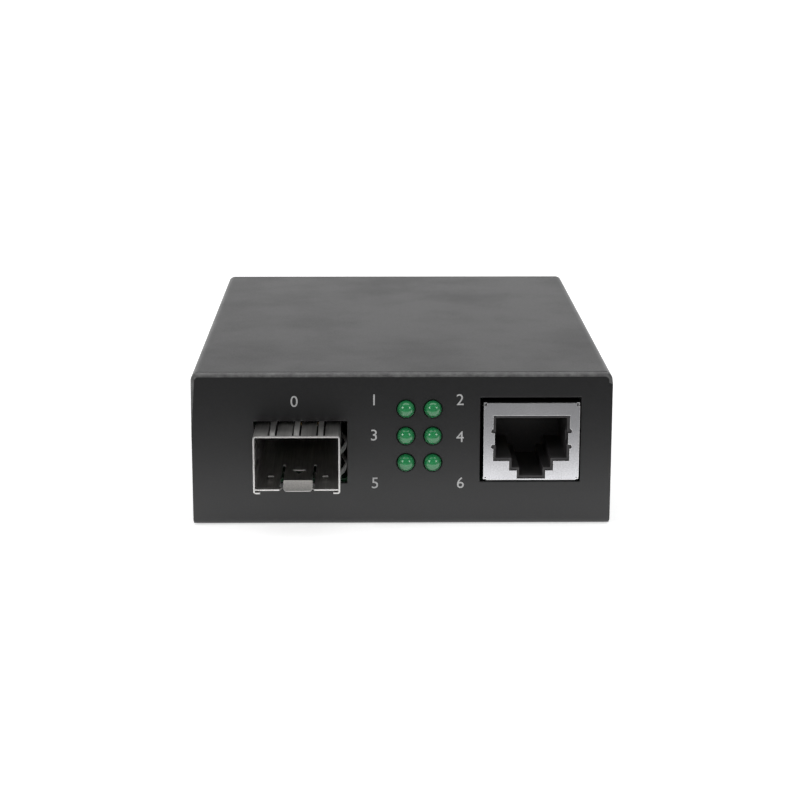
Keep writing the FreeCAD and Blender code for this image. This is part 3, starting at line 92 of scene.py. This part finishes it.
camera_data = bpy.data.cameras.new("camera")
camera_data.lens = CAMERA_LENS
camera_data.sensor_width = CAMERA_SENSOR
camera_data.clip_start = 0.01
camera_data.clip_end = 20
camera = placed("camera", camera_data)
camera.location = CAMERA_PLACE
camera.rotation_euler = [math.radians(turn)
                         for turn in (90 - CAMERA_PITCH, CAMERA_ROLL, CAMERA_YAW)]
scene.camera = camera
scene.view_settings.view_transform = "Standard"


# --- building node trees -------------------------------------------------------------------

BEVEL_SAMPLES = 6
NOISE_RANGE = (0.3, 0.7)        # where nearly all of a noise texture's values lie
MIX_PLACES = {"RGBA": (6, 2), "FLOAT": (2, 0)}      # the mix node's first input and its output


class Tree:
    """A node tree with short calls: add a node, join sockets, blend and calculate."""

    def __init__(self, tree):
        self.tree = tree

    def add(self, kind, **settings):
        made = self.tree.nodes.new(kind)
        for key, setting in settings.items():
            setattr(made, key, setting)
        return made

    def feed(self, source, target):
        """Joins an output to an input, or sets the input where the source is a plain value."""
        if isinstance(source, bpy.types.NodeSocket):
            self.tree.links.new(source, target)
        else:
            target.default_value = source

    def calc(self, operation, first, second):
        made = self.add("ShaderNodeMath", operation=operation)
        self.feed(first, made.inputs[0])
        self.feed(second, made.inputs[1])
        return made.outputs[0]

    def plus(self, first, second):
        return self.calc("ADD", first, second)

    def times(self, first, second):
        return self.calc("MULTIPLY", first, second)

    def measure(self, operation, *vectors):
        """A number from vectors, such as a length or a dot product."""
        made = self.add("ShaderNodeVectorMath", operation=operation)
        for socket, given in zip(made.inputs, vectors):
            self.feed(given, socket)
        return made.outputs["Value"]

    def remap(self, source, from_low, from_high, to_low=0.0, to_high=1.0):
        """The source's range stretched onto another range, and held inside it."""
        made = self.add("ShaderNodeMapRange")
        for socket, given in zip(made.inputs, (source, from_low, from_high, to_low, to_high)):
            self.feed(given, socket)
        return made.outputs[0]

    def ramp(self, source, start, end):
        """A level that runs between two pairs of a place and its level, and holds beyond them."""
        return self.remap(source, start[0], end[0], start[1], end[1])

    def spread(self, noise, low, high):
        """A noise's usual range stretched between a low and a high value."""
        return self.remap(noise, *NOISE_RANGE, low, high)

    def blend(self, share, first, second, kind="RGBA"):
        """From the first colour or value to the second, as the share goes from 0 to 1."""
        made = self.add("ShaderNodeMix", data_type=kind)
        start, result = MIX_PLACES[kind]
        sockets = (made.inputs[0], made.inputs[start], made.inputs[start + 1])
        for socket, given in zip(sockets, (share, first, second)):
            self.feed(given, socket)
        return made.outputs[result]

    def noise(self, place, scale, detail=2.0, roughness=0.5):
        made = self.add("ShaderNodeTexNoise")
        self.feed(place, made.inputs["Vector"])
        self.feed(scale, made.inputs["Scale"])
        made.inputs["Detail"].default_value = detail
        made.inputs["Roughness"].default_value = roughness
        return made.outputs[0]

    def place(self):
        return self.add("ShaderNodeTexCoord").outputs["Object"]

    def moved(self, place, **settings):
        """A place that is scaled, turned or shifted before it reaches a texture."""
        made = self.add("ShaderNodeMapping")
        self.feed(place, made.inputs["Vector"])
        for title, setting in settings.items():
            made.inputs[title].default_value = setting
        return made.outputs[0]

    def normal(self):
        return self.add("ShaderNodeNewGeometry").outputs["Normal"]

    def rounded_normal(self, radius):
        """The normal with the edges rounded over by a small radius."""
        made = self.add("ShaderNodeBevel", samples=BEVEL_SAMPLES)
        self.feed(radius, made.inputs["Radius"])
        return made.outputs[0]

    def split(self, vector):
        """The x, y and z of a vector."""
        made = self.add("ShaderNodeSeparateXYZ")
        self.feed(vector, made.inputs[0])
        return made.outputs


# --- effects that the finishes share -------------------------------------------------------

NUMBER = "NodeSocketFloat"


def effect(name, setting, start, results, fill):
    """A shader node group with one setting: fill(tree, setting) gives its results by name."""
    group = bpy.data.node_groups.new(name, "ShaderNodeTree")
    group.interface.new_socket(setting, in_out="INPUT", socket_type=NUMBER).default_value = start
    for title in results:
        group.interface.new_socket(title, in_out="OUTPUT", socket_type=NUMBER)
    tree = Tree(group)
    given = tree.add("NodeGroupInput").outputs[setting]
    end = tree.add("NodeGroupOutput").inputs
    for title, made in fill(tree, given).items():
        tree.feed(made, end[title])
    return group


SWELL_SCALE, SWELL_SHARE = 0.12, 0.3


def fill_grain(tree, scale):
    """Fine moulded or sprayed grain over a coarser swell, and the fine grain's specks."""
    place = tree.place()
    fine = tree.noise(place, scale, detail=3.0, roughness=0.6)
    swell = tree.noise(place, tree.times(scale, SWELL_SCALE))
    return {"Height": tree.plus(tree.times(fine, 1 - SWELL_SHARE), tree.times(swell, SWELL_SHARE)),
            "Speck": tree.remap(fine, 0.42, 0.62)}


EDGE_STARTS, EDGE_IS_FULL = 0.995, 0.80     # the cosine between the rounded and the true normal


def fill_wear(tree, width):
    """Outer edges, found where the rounded normal leaves the true one, and patches of them."""
    agreement = tree.measure("DOT_PRODUCT", tree.rounded_normal(width), tree.normal())
    edge = tree.remap(agreement, EDGE_STARTS, EDGE_IS_FULL)
    patches = tree.remap(tree.noise(tree.place(), 420.0, detail=4.0, roughness=0.7), 0.40, 0.66)
    return {"Edge": edge, "Worn": tree.times(edge, patches)}


STREAK_STRETCH = (1.0, 0.02, 1.0)       # streaks run along y, fifty times as long as wide


def fill_rolling(tree, scale):
    """Streaks along the roll of a sheet, and the clouds that handling leaves on it."""
    place = tree.place()
    streaks = tree.noise(tree.moved(place, Scale=STREAK_STRETCH), scale, detail=4.0, roughness=0.65)
    return {"Height": streaks, "Streak": tree.remap(streaks, 0.35, 0.65),
            "Cloud": tree.noise(place, 160.0, detail=3.0)}


DUST_SETTLES = (0.2, 1.0)               # the upward part of a normal, from no dust to all of it


def fill_dust(tree, amount):
    """A film in patches and single motes, both only where the surface faces up."""
    upward = tree.remap(tree.split(tree.normal())["Z"], *DUST_SETTLES)
    place = tree.place()
    patches = tree.remap(tree.noise(place, 55.0, detail=5.0, roughness=0.65), 0.42, 0.75)
    motes = tree.remap(tree.noise(place, 2600.0, detail=1.0), 0.66, 0.74)
    return {"Film": tree.times(tree.times(patches, upward), amount),
            "Motes": tree.times(tree.times(motes, upward), amount)}


GRAIN = effect("moulded_grain", "Scale", 3000.0, ("Height", "Speck"), fill_grain)
WEAR = effect("edge_wear", "Width", 0.2 * MM, ("Edge", "Worn"), fill_wear)
ROLLING = effect("rolled_sheet", "Scale", 4000.0, ("Height", "Streak", "Cloud"), fill_rolling)
DUST = effect("settled_dust", "Amount", 0.3, ("Film", "Motes"), fill_dust)


class Finish(Tree):
    """A material: the tree with its own surface shader, and the shared effects placed in it."""

    def __init__(self, name, metallic=0.0, **sockets):
        self.material = bpy.data.materials.new(name)
        self.material.use_nodes = True
        super().__init__(self.material.node_tree)
        self.surface = self.tree.nodes["Principled BSDF"]
        self.surface.inputs["Metallic"].default_value = metallic
        for title, setting in sockets.items():
            self.surface.inputs[title.replace("_", " ")].default_value = setting

    def use(self, group, **settings):
        made = self.add("ShaderNodeGroup")
        made.node_tree = group
        for title, setting in settings.items():
            self.feed(setting, made.inputs[title])
        return made.outputs

    def colour(self, source):
        self.feed(source, self.surface.inputs["Base Color"])

    def roughness(self, source):
        self.feed(source, self.surface.inputs["Roughness"])

    def grained_roughness(self, height, low, high):
        """Roughness that follows the grain's height, between a low and a high value."""
        self.roughness(self.spread(height, low, high))

    def bump(self, height, strength, depth, round_edges=None):
        """Relief from a height, over edges rounded by a small bevel where one is given."""
        made = self.add("ShaderNodeBump")
        made.inputs["Strength"].default_value = strength
        made.inputs["Distance"].default_value = depth
        self.feed(height, made.inputs["Height"])
        if round_edges:
            self.feed(self.rounded_normal(round_edges), made.inputs["Normal"])
        self.feed(made.outputs[0], self.surface.inputs["Normal"])


def rgb(red, green, blue):
    return (red, green, blue, 1.0)


# --- finishes ------------------------------------------------------------------------------

def powder_coat(name, painted_highlight=0.0):
    """Satin black powder coat; given a share, it takes pale patches as a painted highlight,
    standing in for the light that a rounded edge catches.
    """
    finish = Finish(name, IOR=1.5)
    grain = finish.use(GRAIN, Scale=5200.0)
    wear = finish.use(WEAR, Width=0.22 * MM)
    dust = finish.use(DUST, Amount=0.10)
    tone = finish.blend(grain["Speck"], rgb(0.0095, 0.0095, 0.0102), rgb(0.0125, 0.0125, 0.0132))
    tone = finish.blend(finish.times(wear["Edge"], 0.45), tone, rgb(0.060, 0.060, 0.062))
    if painted_highlight:
        # Painted highlight: pale patches that stand in for the light the rounded panel edges catch.
        handling = finish.noise(finish.place(), 700.0, detail=5.0, roughness=0.7)
        patches = finish.remap(handling, 0.34, 0.70, to_low=0.4)
        tone = finish.blend(finish.times(patches, painted_highlight), tone, rgb(0.20, 0.20, 0.20))
    tone = finish.blend(dust["Film"], tone, rgb(0.10, 0.10, 0.10))
    finish.colour(finish.blend(dust["Motes"], tone, rgb(0.20, 0.20, 0.19)))
    finish.roughness(finish.plus(finish.remap(grain["Speck"], 0.0, 1.0, 0.31, 0.37),
                                 finish.times(dust["Film"], 0.8)))
    finish.bump(grain["Height"], 0.35, 0.03 * MM, round_edges=0.25 * MM)
    return finish.material


def sheet_metal(name, bright, dark, rough_low, rough_high):
    """Rolled and stamped sheet: streaks along the roll, clouds of handling, bright worn edges."""
    finish = Finish(name, metallic=1.0)
    rolling = finish.use(ROLLING, Scale=4200.0)
    wear = finish.use(WEAR, Width=0.12 * MM)
    tone = finish.blend(rolling["Streak"], dark, bright)
    finish.colour(finish.blend(wear["Edge"], tone, rgb(0.84, 0.84, 0.83)))
    finish.roughness(finish.plus(finish.spread(rolling["Cloud"], rough_low, rough_high),
                                 finish.times(wear["Edge"], -0.06)))
    finish.bump(rolling["Height"], 0.18, 0.01 * MM, round_edges=0.08 * MM)
    return finish.material


def plated(name, bright, dark, rough):
    """Turned or drawn metal with a thin plate: mottled tone and a fine tooled relief."""
    finish = Finish(name, metallic=1.0)
    grain = finish.use(GRAIN, Scale=2600.0)
    wear = finish.use(WEAR, Width=0.1 * MM)
    tone = finish.blend(grain["Speck"], dark, bright)
    finish.colour(finish.blend(finish.times(wear["Worn"], 0.7), tone, rgb(0.93, 0.93, 0.92)))
    finish.grained_roughness(grain["Height"], rough - 0.06, rough + 0.08)
    finish.bump(grain["Height"], 0.25, 0.01 * MM, round_edges=0.06 * MM)
    return finish.material


def moulding(name, tone, speck, rough=0.45, scale=3400.0):
    """Moulded plastic or epoxy: fine spark-eroded grain, faint dust, softened edges."""
    finish = Finish(name)
    grain = finish.use(GRAIN, Scale=scale)
    wear = finish.use(WEAR, Width=0.1 * MM)
    dust = finish.use(DUST, Amount=0.12)
    mixed = finish.blend(grain["Speck"], tone, speck)
    paler = rgb(*(min(1.0, 1.9 * part + 0.02) for part in speck[:3]))
    mixed = finish.blend(finish.times(wear["Edge"], 0.5), mixed, paler)
    finish.colour(finish.blend(dust["Film"], mixed, rgb(0.16, 0.16, 0.15)))
    finish.grained_roughness(grain["Height"], rough - 0.06, rough + 0.07)
    finish.bump(grain["Height"], 0.3, 0.02 * MM, round_edges=0.08 * MM)
    return finish.material


def lamp_epoxy():
    """Tinted, diffused epoxy with painted shade: darker toward the rim, where the dome turns from
    the view, so the crown is brighter; glossy skin.
    """
    finish = Finish("lamp_epoxy", IOR=1.54, Coat_Weight=0.45, Coat_Roughness=0.03)
    grain = finish.use(GRAIN, Scale=5200.0)
    painted_rim_shade = finish.add("ShaderNodeLayerWeight")
    painted_rim_shade.inputs["Blend"].default_value = 0.35
    milky = finish.blend(grain["Speck"], rgb(0.020, 0.258, 0.084), rgb(0.026, 0.300, 0.100))
    # Painted shade: the colour darkens toward the dome's rim as it turns away from the view.
    finish.colour(finish.blend(painted_rim_shade.outputs["Facing"], milky, rgb(0.008, 0.085, 0.030)))
    finish.grained_roughness(grain["Height"], 0.10, 0.16)
    finish.bump(grain["Height"], 0.05, 0.01 * MM)
    return finish.material


def solder_mask():
    """Green mask over etched copper, whose tracks show as paler, raised lines: square to the
    board in some regions and slanted in the others."""
    finish = Finish("solder_mask", IOR=1.5, Coat_Weight=0.3, Coat_Roughness=0.15)
    place = finish.place()

    def tracks(turn, shift):
        bricks = finish.add("ShaderNodeTexBrick", offset=0.37, squash=1.0)
        turned = finish.moved(place, Rotation=(0.0, 0.0, math.radians(turn)),
                              Location=(shift * MM, 0.0, 0.0))
        finish.feed(turned, bricks.inputs["Vector"])
        for title, setting in (("Scale", 180.0), ("Mortar Size", 0.035), ("Brick Width", 2.6),
                               ("Row Height", 0.21), ("Mortar Smooth", 0.1)):
            bricks.inputs[title].default_value = setting
        return bricks.outputs["Fac"]

    square = finish.calc("MAXIMUM", tracks(0, 0.0), tracks(90, 0.37))
    slanted = tracks(45, 0.81)
    region = finish.remap(finish.noise(place, 90.0, detail=1.0), 0.47, 0.50)
    lines = finish.calc("MAXIMUM", finish.times(square, region),
                        finish.times(slanted, finish.calc("SUBTRACT", 1.0, region)))
    grain = finish.use(GRAIN, Scale=1800.0)
    mask = finish.blend(grain["Speck"], rgb(0.005, 0.030, 0.013), rgb(0.007, 0.038, 0.017))
    finish.colour(finish.blend(lines, mask, rgb(0.014, 0.080, 0.032)))
    finish.grained_roughness(grain["Height"], 0.24, 0.34)
    finish.bump(lines, 0.5, 0.03 * MM, round_edges=0.06 * MM)
    return finish.material


def wound_wire():
    """Enamelled copper: close turns round the core as a fine ribbed relief."""
    finish = Finish("wound_wire", metallic=1.0)
    turns = finish.add("ShaderNodeTexWave", bands_direction="Z")
    finish.feed(finish.place(), turns.inputs["Vector"])
    turns.inputs["Scale"].default_value = 900.0
    turns.inputs["Distortion"].default_value = 0.4
    rib = turns.outputs["Fac"]
    # Painted shade and painted highlight: the copper's colour follows the ribs, dark in the grooves
    # between turns and bright on their crests.
    finish.colour(finish.blend(rib, rgb(0.30, 0.11, 0.045), rgb(0.80, 0.36, 0.17)))
    finish.grained_roughness(finish.use(GRAIN, Scale=2400.0)["Height"], 0.22, 0.34)
    finish.bump(rib, 0.7, 0.08 * MM)
    return finish.material


def fired_ceramic():
    """Small fired bodies: brown between edges and ends that the tin has wetted."""
    finish = Finish("fired_ceramic")
    grain = finish.use(GRAIN, Scale=2600.0)
    wear = finish.use(WEAR, Width=0.35 * MM)
    body = finish.blend(grain["Speck"], rgb(0.21, 0.125, 0.062), rgb(0.26, 0.16, 0.085))
    finish.colour(finish.blend(wear["Edge"], body, rgb(0.55, 0.55, 0.54)))
    finish.grained_roughness(grain["Height"], 0.32, 0.46)
    finish.bump(grain["Height"], 0.3, 0.02 * MM, round_edges=0.06 * MM)
    return finish.material


def screen_ink():
    """Matt, pale printing ink."""
    finish = Finish("screen_ink", IOR=1.45)
    grain = finish.use(GRAIN, Scale=6000.0)
    finish.colour(finish.blend(grain["Speck"], rgb(0.47, 0.47, 0.47), rgb(0.66, 0.66, 0.66)))
    finish.grained_roughness(grain["Height"], 0.42, 0.56)
    finish.bump(grain["Height"], 0.4, 0.01 * MM)
    return finish.material


FINISHES = {
    "housing_paint": powder_coat("powder_coat"),
    "black_screws": plated("black_zinc", rgb(0.045, 0.045, 0.05), rgb(0.028, 0.028, 0.032), 0.34),
    "zinc_hardware": plated("bright_zinc", rgb(0.70, 0.71, 0.72), rgb(0.58, 0.59, 0.61), 0.27),
    "gold_contacts": plated("gold_flash", rgb(0.88, 0.62, 0.24), rgb(0.74, 0.49, 0.17), 0.20),
    "tinned_leads": plated("tinned_leads", rgb(0.74, 0.74, 0.73), rgb(0.60, 0.60, 0.60), 0.26),
    "cage_metal": sheet_metal("nickel_silver", rgb(0.72, 0.71, 0.69), rgb(0.58, 0.57, 0.56),
                              0.30, 0.40),
    "shield_metal": sheet_metal("tinned_sheet", rgb(0.64, 0.64, 0.66), rgb(0.52, 0.52, 0.54),
                                0.18, 0.26),
    "can_metal": sheet_metal("bare_aluminium", rgb(0.80, 0.80, 0.81), rgb(0.68, 0.68, 0.70),
                             0.24, 0.34),
    "black_moulding": moulding("black_moulding", rgb(0.036, 0.034, 0.036),
                               rgb(0.046, 0.044, 0.046)),
    "chip_epoxy": moulding("chip_epoxy", rgb(0.014, 0.014, 0.016), rgb(0.022, 0.022, 0.024),
                           rough=0.52, scale=2200.0),
    "ferrite": moulding("sintered_ferrite", rgb(0.040, 0.039, 0.041), rgb(0.065, 0.063, 0.064),
                        rough=0.6, scale=1500.0),
    "board_laminate": solder_mask(),
    "lamp_green": lamp_epoxy(),
    "copper_winding": wound_wire(),
    "ceramic_chips": fired_ceramic(),
}

for name, thing in nodes.items():
    thing.data.materials.clear()
    thing.data.materials.append(FINISHES[slot_of[name]])


# --- forms that the solids give in straight steps ------------------------------------------

def finished(name, form):
    """The mesh of a form, which is given up with it."""
    mesh = bpy.data.meshes.new(name)
    form.to_mesh(mesh)
    form.free()
    return mesh


def dress(name, mesh, *stands_for):
    """A piece made from a finished mesh, in the finish of the nodes that it stands for."""
    thing = placed(name, mesh)
    slot = slot_of[stands_for[0]]
    mesh.materials.append(FINISHES[slot])
    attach(thing, "root")
    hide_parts(*stands_for)


# The sheet's cut edges round the front and rear panels, rolled over by the coat.
PANEL_EDGE_ROUND = 0.65 * MM
PANEL_EDGE_STEPS = 6
PANEL_EDGE_PROFILE = 0.32       # 0.5 is a quarter circle; less brings it nearer a chamfer
PANEL_RIM = 2.0 * MM            # an edge this near the panel's sides or top is on its outline
BASE_FOLD_TOP = 2.5 * MM        # below this the panel is a fold, and already round
ON_FACE = 0.001 * MM
WELD = 0.0001 * MM
IN_LINE = math.radians(0.5)
CORNER = math.radians(60)
CREASE = math.radians(35)
ALONG_AN_AXIS = 0.9999          # a normal's largest part, from which a face counts as flat


def rolled_tray():
    """The folded tray, with the painted edges of its front and rear panels rounded over."""
    form = bmesh.new()
    form.from_mesh(nodes["chassis_tray"].data)
    bmesh.ops.remove_doubles(form, verts=form.verts, dist=WELD)
    bmesh.ops.dissolve_limit(form, angle_limit=IN_LINE, verts=form.verts, edges=form.edges)

    def on_outline(edge):
        spots = [corner.co for corner in edge.verts]
        on_face = all(min(abs(spot.y - tray_low.y), abs(spot.y - tray_high.y)) < ON_FACE
                      for spot in spots)
        on_rim = all(abs(spot.x) > tray_high.x - PANEL_RIM or spot.z > tray_high.z - PANEL_RIM
                     for spot in spots)
        above_fold = all(spot.z > BASE_FOLD_TOP for spot in spots)
        return on_face and on_rim and above_fold and edge.calc_face_angle(0.0) > CORNER

    bmesh.ops.bevel(form, geom=[edge for edge in form.edges if on_outline(edge)],
                    offset=PANEL_EDGE_ROUND, offset_type="OFFSET", segments=PANEL_EDGE_STEPS,
                    profile=PANEL_EDGE_PROFILE, affect="EDGES", clamp_overlap=True, material=1)
    mesh = finished("rolled_tray", form)
    # The crease marks turn every face smooth, so the flat faces are set back after them.
    mesh.set_sharp_from_angle(angle=CREASE)
    for face in mesh.polygons:
        face.use_smooth = max(abs(part) for part in face.normal) < ALONG_AN_AXIS
    dress("rolled_tray", mesh, "chassis_tray")
    # The rounded edge faces take the second material, whose pale patches are a painted highlight
    # along the panels' edges.
    mesh.materials.append(powder_coat("painted_highlight_edge", painted_highlight=0.75))


rolled_tray()

LENS_SPANS = 48
DOME_RINGS = 12


def lens_mesh(name, low, high):
    """One lamp lens: a smooth dome on a straight barrel, turned about its own axis."""
    radius = (high.x - low.x) / 2
    middle = (low + high) / 2
    turns = [math.pi / 2 * step / DOME_RINGS for step in range(1, DOME_RINGS + 1)]
    outline = [(radius * math.sin(turn), low.y + radius * (1 - math.cos(turn))) for turn in turns]
    outline.append((radius, high.y))
    angles = [math.tau * span / LENS_SPANS for span in range(LENS_SPANS)]
    form = bmesh.new()
    tip = form.verts.new((middle.x, low.y, middle.z))
    rings = [[form.verts.new((middle.x + reach * math.cos(angle), y,
                              middle.z + reach * math.sin(angle))) for angle in angles]
             for reach, y in outline]
    for span in range(LENS_SPANS):
        after = (span + 1) % LENS_SPANS
        form.faces.new((tip, rings[0][span], rings[0][after]))
        for near, far in zip(rings, rings[1:]):
            form.faces.new((near[span], far[span], far[after], near[after]))
    form.faces.new(rings[-1])
    bmesh.ops.recalc_face_normals(form, faces=form.faces)
    mesh = finished(name, form)
    for face in mesh.polygons:
        face.use_smooth = len(face.vertices) < LENS_SPANS
    return mesh


for number, (low, high) in lens_boxes.items():
    name = f"lamp_dome_{number}"
    dress(name, lens_mesh(name, low, high), f"led_lens_{number}")


# --- printed numerals ----------------------------------------------------------------------

INK = screen_ink()
INK_THICKNESS = 0.012 * MM
NUMERAL_HEIGHT = 1.9 * MM
HEIGHT_SHARE = 0.7              # a numeral's height as a share of the font's size
LETTER_SPACING = 1.06
CURVE_STEPS = 6


def printed(name, numeral, x, z):
    """A screen-printed numeral on the front panel, centred on x with its foot at z."""
    curve = bpy.data.curves.new(name, "FONT")
    curve.body = numeral
    curve.size = NUMERAL_HEIGHT / HEIGHT_SHARE
    curve.align_x = "CENTER"
    curve.space_character = LETTER_SPACING
    curve.extrude = INK_THICKNESS / 2
    curve.resolution_u = CURVE_STEPS
    curve.materials.append(INK)
    thing = placed(name, curve)
    thing.location = (x, tray_low.y - INK_THICKNESS / 2, z)
    thing.rotation_euler = (math.pi / 2, 0.0, 0.0)
    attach(thing, "root")


# The bay's numeral is set in from the cage's right side and down from the panel's top. Each
# lamp's numeral stands across and up from the middle of its lamp.
BAY_NUMERAL_INSET = 8.74 * MM
BAY_NUMERAL_DROP = 5.7 * MM
LAMP_NUMERALS = {
    "1": (-5.33, 0.66), "2": (4.52, 0.66),
    "3": (-5.33, -0.77), "4": (4.57, -1.07),
    "5": (-5.18, -4.45), "6": (4.67, -4.45),
}

printed("legend_bay", "0", cage_high.x - BAY_NUMERAL_INSET, tray_high.z - BAY_NUMERAL_DROP)
for number, (across, up) in LAMP_NUMERALS.items():
    low, high = lens_boxes[number]
    middle = (low + high) / 2
    printed(f"legend_{number}", number, middle.x + across * MM, middle.z + up * MM)


# --- floor, surroundings and light ---------------------------------------------------------

WHITE = rgb(1.0, 1.0, 1.0)

# In front of the object the floor's colour is painted dark, a painted shade standing for a dark
# room: steeply where the foot of the panel is mirrored, then slowly where its top is. Each pair is
# a y and the share of the paleness there. Only reflected and scattered light sees this.
FLOOR_SIZE = 6.0
FLOOR_PALE = 0.95
FLOOR_STEEP = ((-0.104, 0.24), (-0.072, 1.0))
FLOOR_SLOW = ((-0.30, 0.12), (-0.12, 1.0))

# What the camera sees of the floor glows a little by the object, where it keeps the shadow, and
# is plain white far from it. Each pair is a distance or a y, and the glow there.
FLOOR_SEEN = ((0.25, 0.55), (1.2, 1.0))
# In reflections the floor glows too, a painted glow of its level times these: fuller up to the
# object's middle, weaker behind it.
FLOOR_MIRRORED = ((0.0, 0.76), (0.15, 0.35))


def studio_floor():
    """Pale paper that the camera sees as white, and that keeps the object's shadow. Reflected and
    scattered light see it painted dark ahead of the object, and reflections see a painted glow.
    """
    finish = Finish("studio_floor", Roughness=0.9, Specular_IOR_Level=0.0)
    place = finish.place()
    rays = finish.add("ShaderNodeLightPath").outputs
    depth = finish.split(place)["Y"]
    level = finish.times(finish.times(FLOOR_PALE, finish.ramp(depth, *FLOOR_STEEP)),
                         finish.ramp(depth, *FLOOR_SLOW))
    grey = finish.add("ShaderNodeCombineColor")
    for socket in grey.inputs[:3]:
        finish.feed(level, socket)
    paper = finish.blend(finish.noise(place, 900.0), rgb(0.79, 0.79, 0.79), rgb(0.82, 0.82, 0.82))
    finish.colour(finish.blend(rays["Is Camera Ray"], grey.outputs[0], paper))

    seen = finish.ramp(finish.measure("LENGTH", place), *FLOOR_SEEN)
    mirrored = finish.times(level, finish.ramp(depth, *FLOOR_MIRRORED))
    in_mirror = finish.calc("MAXIMUM", rays["Is Glossy Ray"], rays["Is Transmission Ray"])
    glow = finish.plus(finish.times(rays["Is Camera Ray"], seen), finish.times(in_mirror, mirrored))
    finish.surface.inputs["Emission Color"].default_value = WHITE
    finish.feed(glow, finish.surface.inputs["Emission Strength"])
    return finish.material


half = FLOOR_SIZE / 2
floor_mesh = bpy.data.meshes.new("studio_floor")
floor_mesh.from_pydata([(-half, -half, 0), (half, -half, 0), (half, half, 0), (-half, half, 0)],
                       [], [(0, 1, 2, 3)])
floor_mesh.materials.append(studio_floor())
floor = placed("studio_floor", floor_mesh)
floor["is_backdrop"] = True

# Mirrors see a level that grows from ahead of the object to behind it, times a gain that falls
# from the horizon upward. Each pair is that part of the ray's direction, and the level or gain.
AMBIENT = 0.38
MIRRORED_AHEAD, MIRRORED_BEHIND = (-0.2, 0.16), (0.95, 0.63)
GAIN_AT_HORIZON, GAIN_ABOVE = (0.03, 1.95), (0.34, 0.62)


def surroundings():
    """Even light all round. The camera sees white, and reflections see a dark room in front of
    the object and behind it a wall that is palest near the horizon."""
    world = bpy.data.worlds.new("surroundings")
    world.use_nodes = True
    tree = Tree(world.node_tree)
    background = world.node_tree.nodes["Background"]
    rays = tree.add("ShaderNodeLightPath").outputs
    toward = tree.split(tree.add("ShaderNodeTexCoord").outputs["Generated"])
    wall = tree.times(tree.ramp(toward["Y"], MIRRORED_AHEAD, MIRRORED_BEHIND),
                      tree.ramp(toward["Z"], GAIN_AT_HORIZON, GAIN_ABOVE))
    strength = tree.blend(rays["Is Glossy Ray"], AMBIENT, wall, kind="FLOAT")
    strength = tree.blend(rays["Is Camera Ray"], strength, 1.0, kind="FLOAT")
    background.inputs["Color"].default_value = WHITE
    tree.feed(strength, background.inputs["Strength"])
    scene.world = world


surroundings()

SOFTBOXES = {       # place, size and watts
    "overhead_softbox": ((0.0, 0.15, 0.9), (1.2, 0.9), 5.0),
    "left_softbox": ((-0.7, -0.55, 0.45), (0.35, 0.35), 2.2),
    "right_softbox": ((0.7, -0.55, 0.45), (0.35, 0.35), 1.6),
}

target = (cad_low + cad_high) / 2
for name, (place, size, power) in SOFTBOXES.items():
    data = bpy.data.lights.new(name, "AREA")
    data.shape = "RECTANGLE"
    data.size, data.size_y = size
    data.energy = power
    lamp = placed(name, data)
    lamp.location = place
    lamp.rotation_euler = (target - Vector(place)).to_track_quat("-Z", "Y").to_euler()

low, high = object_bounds()
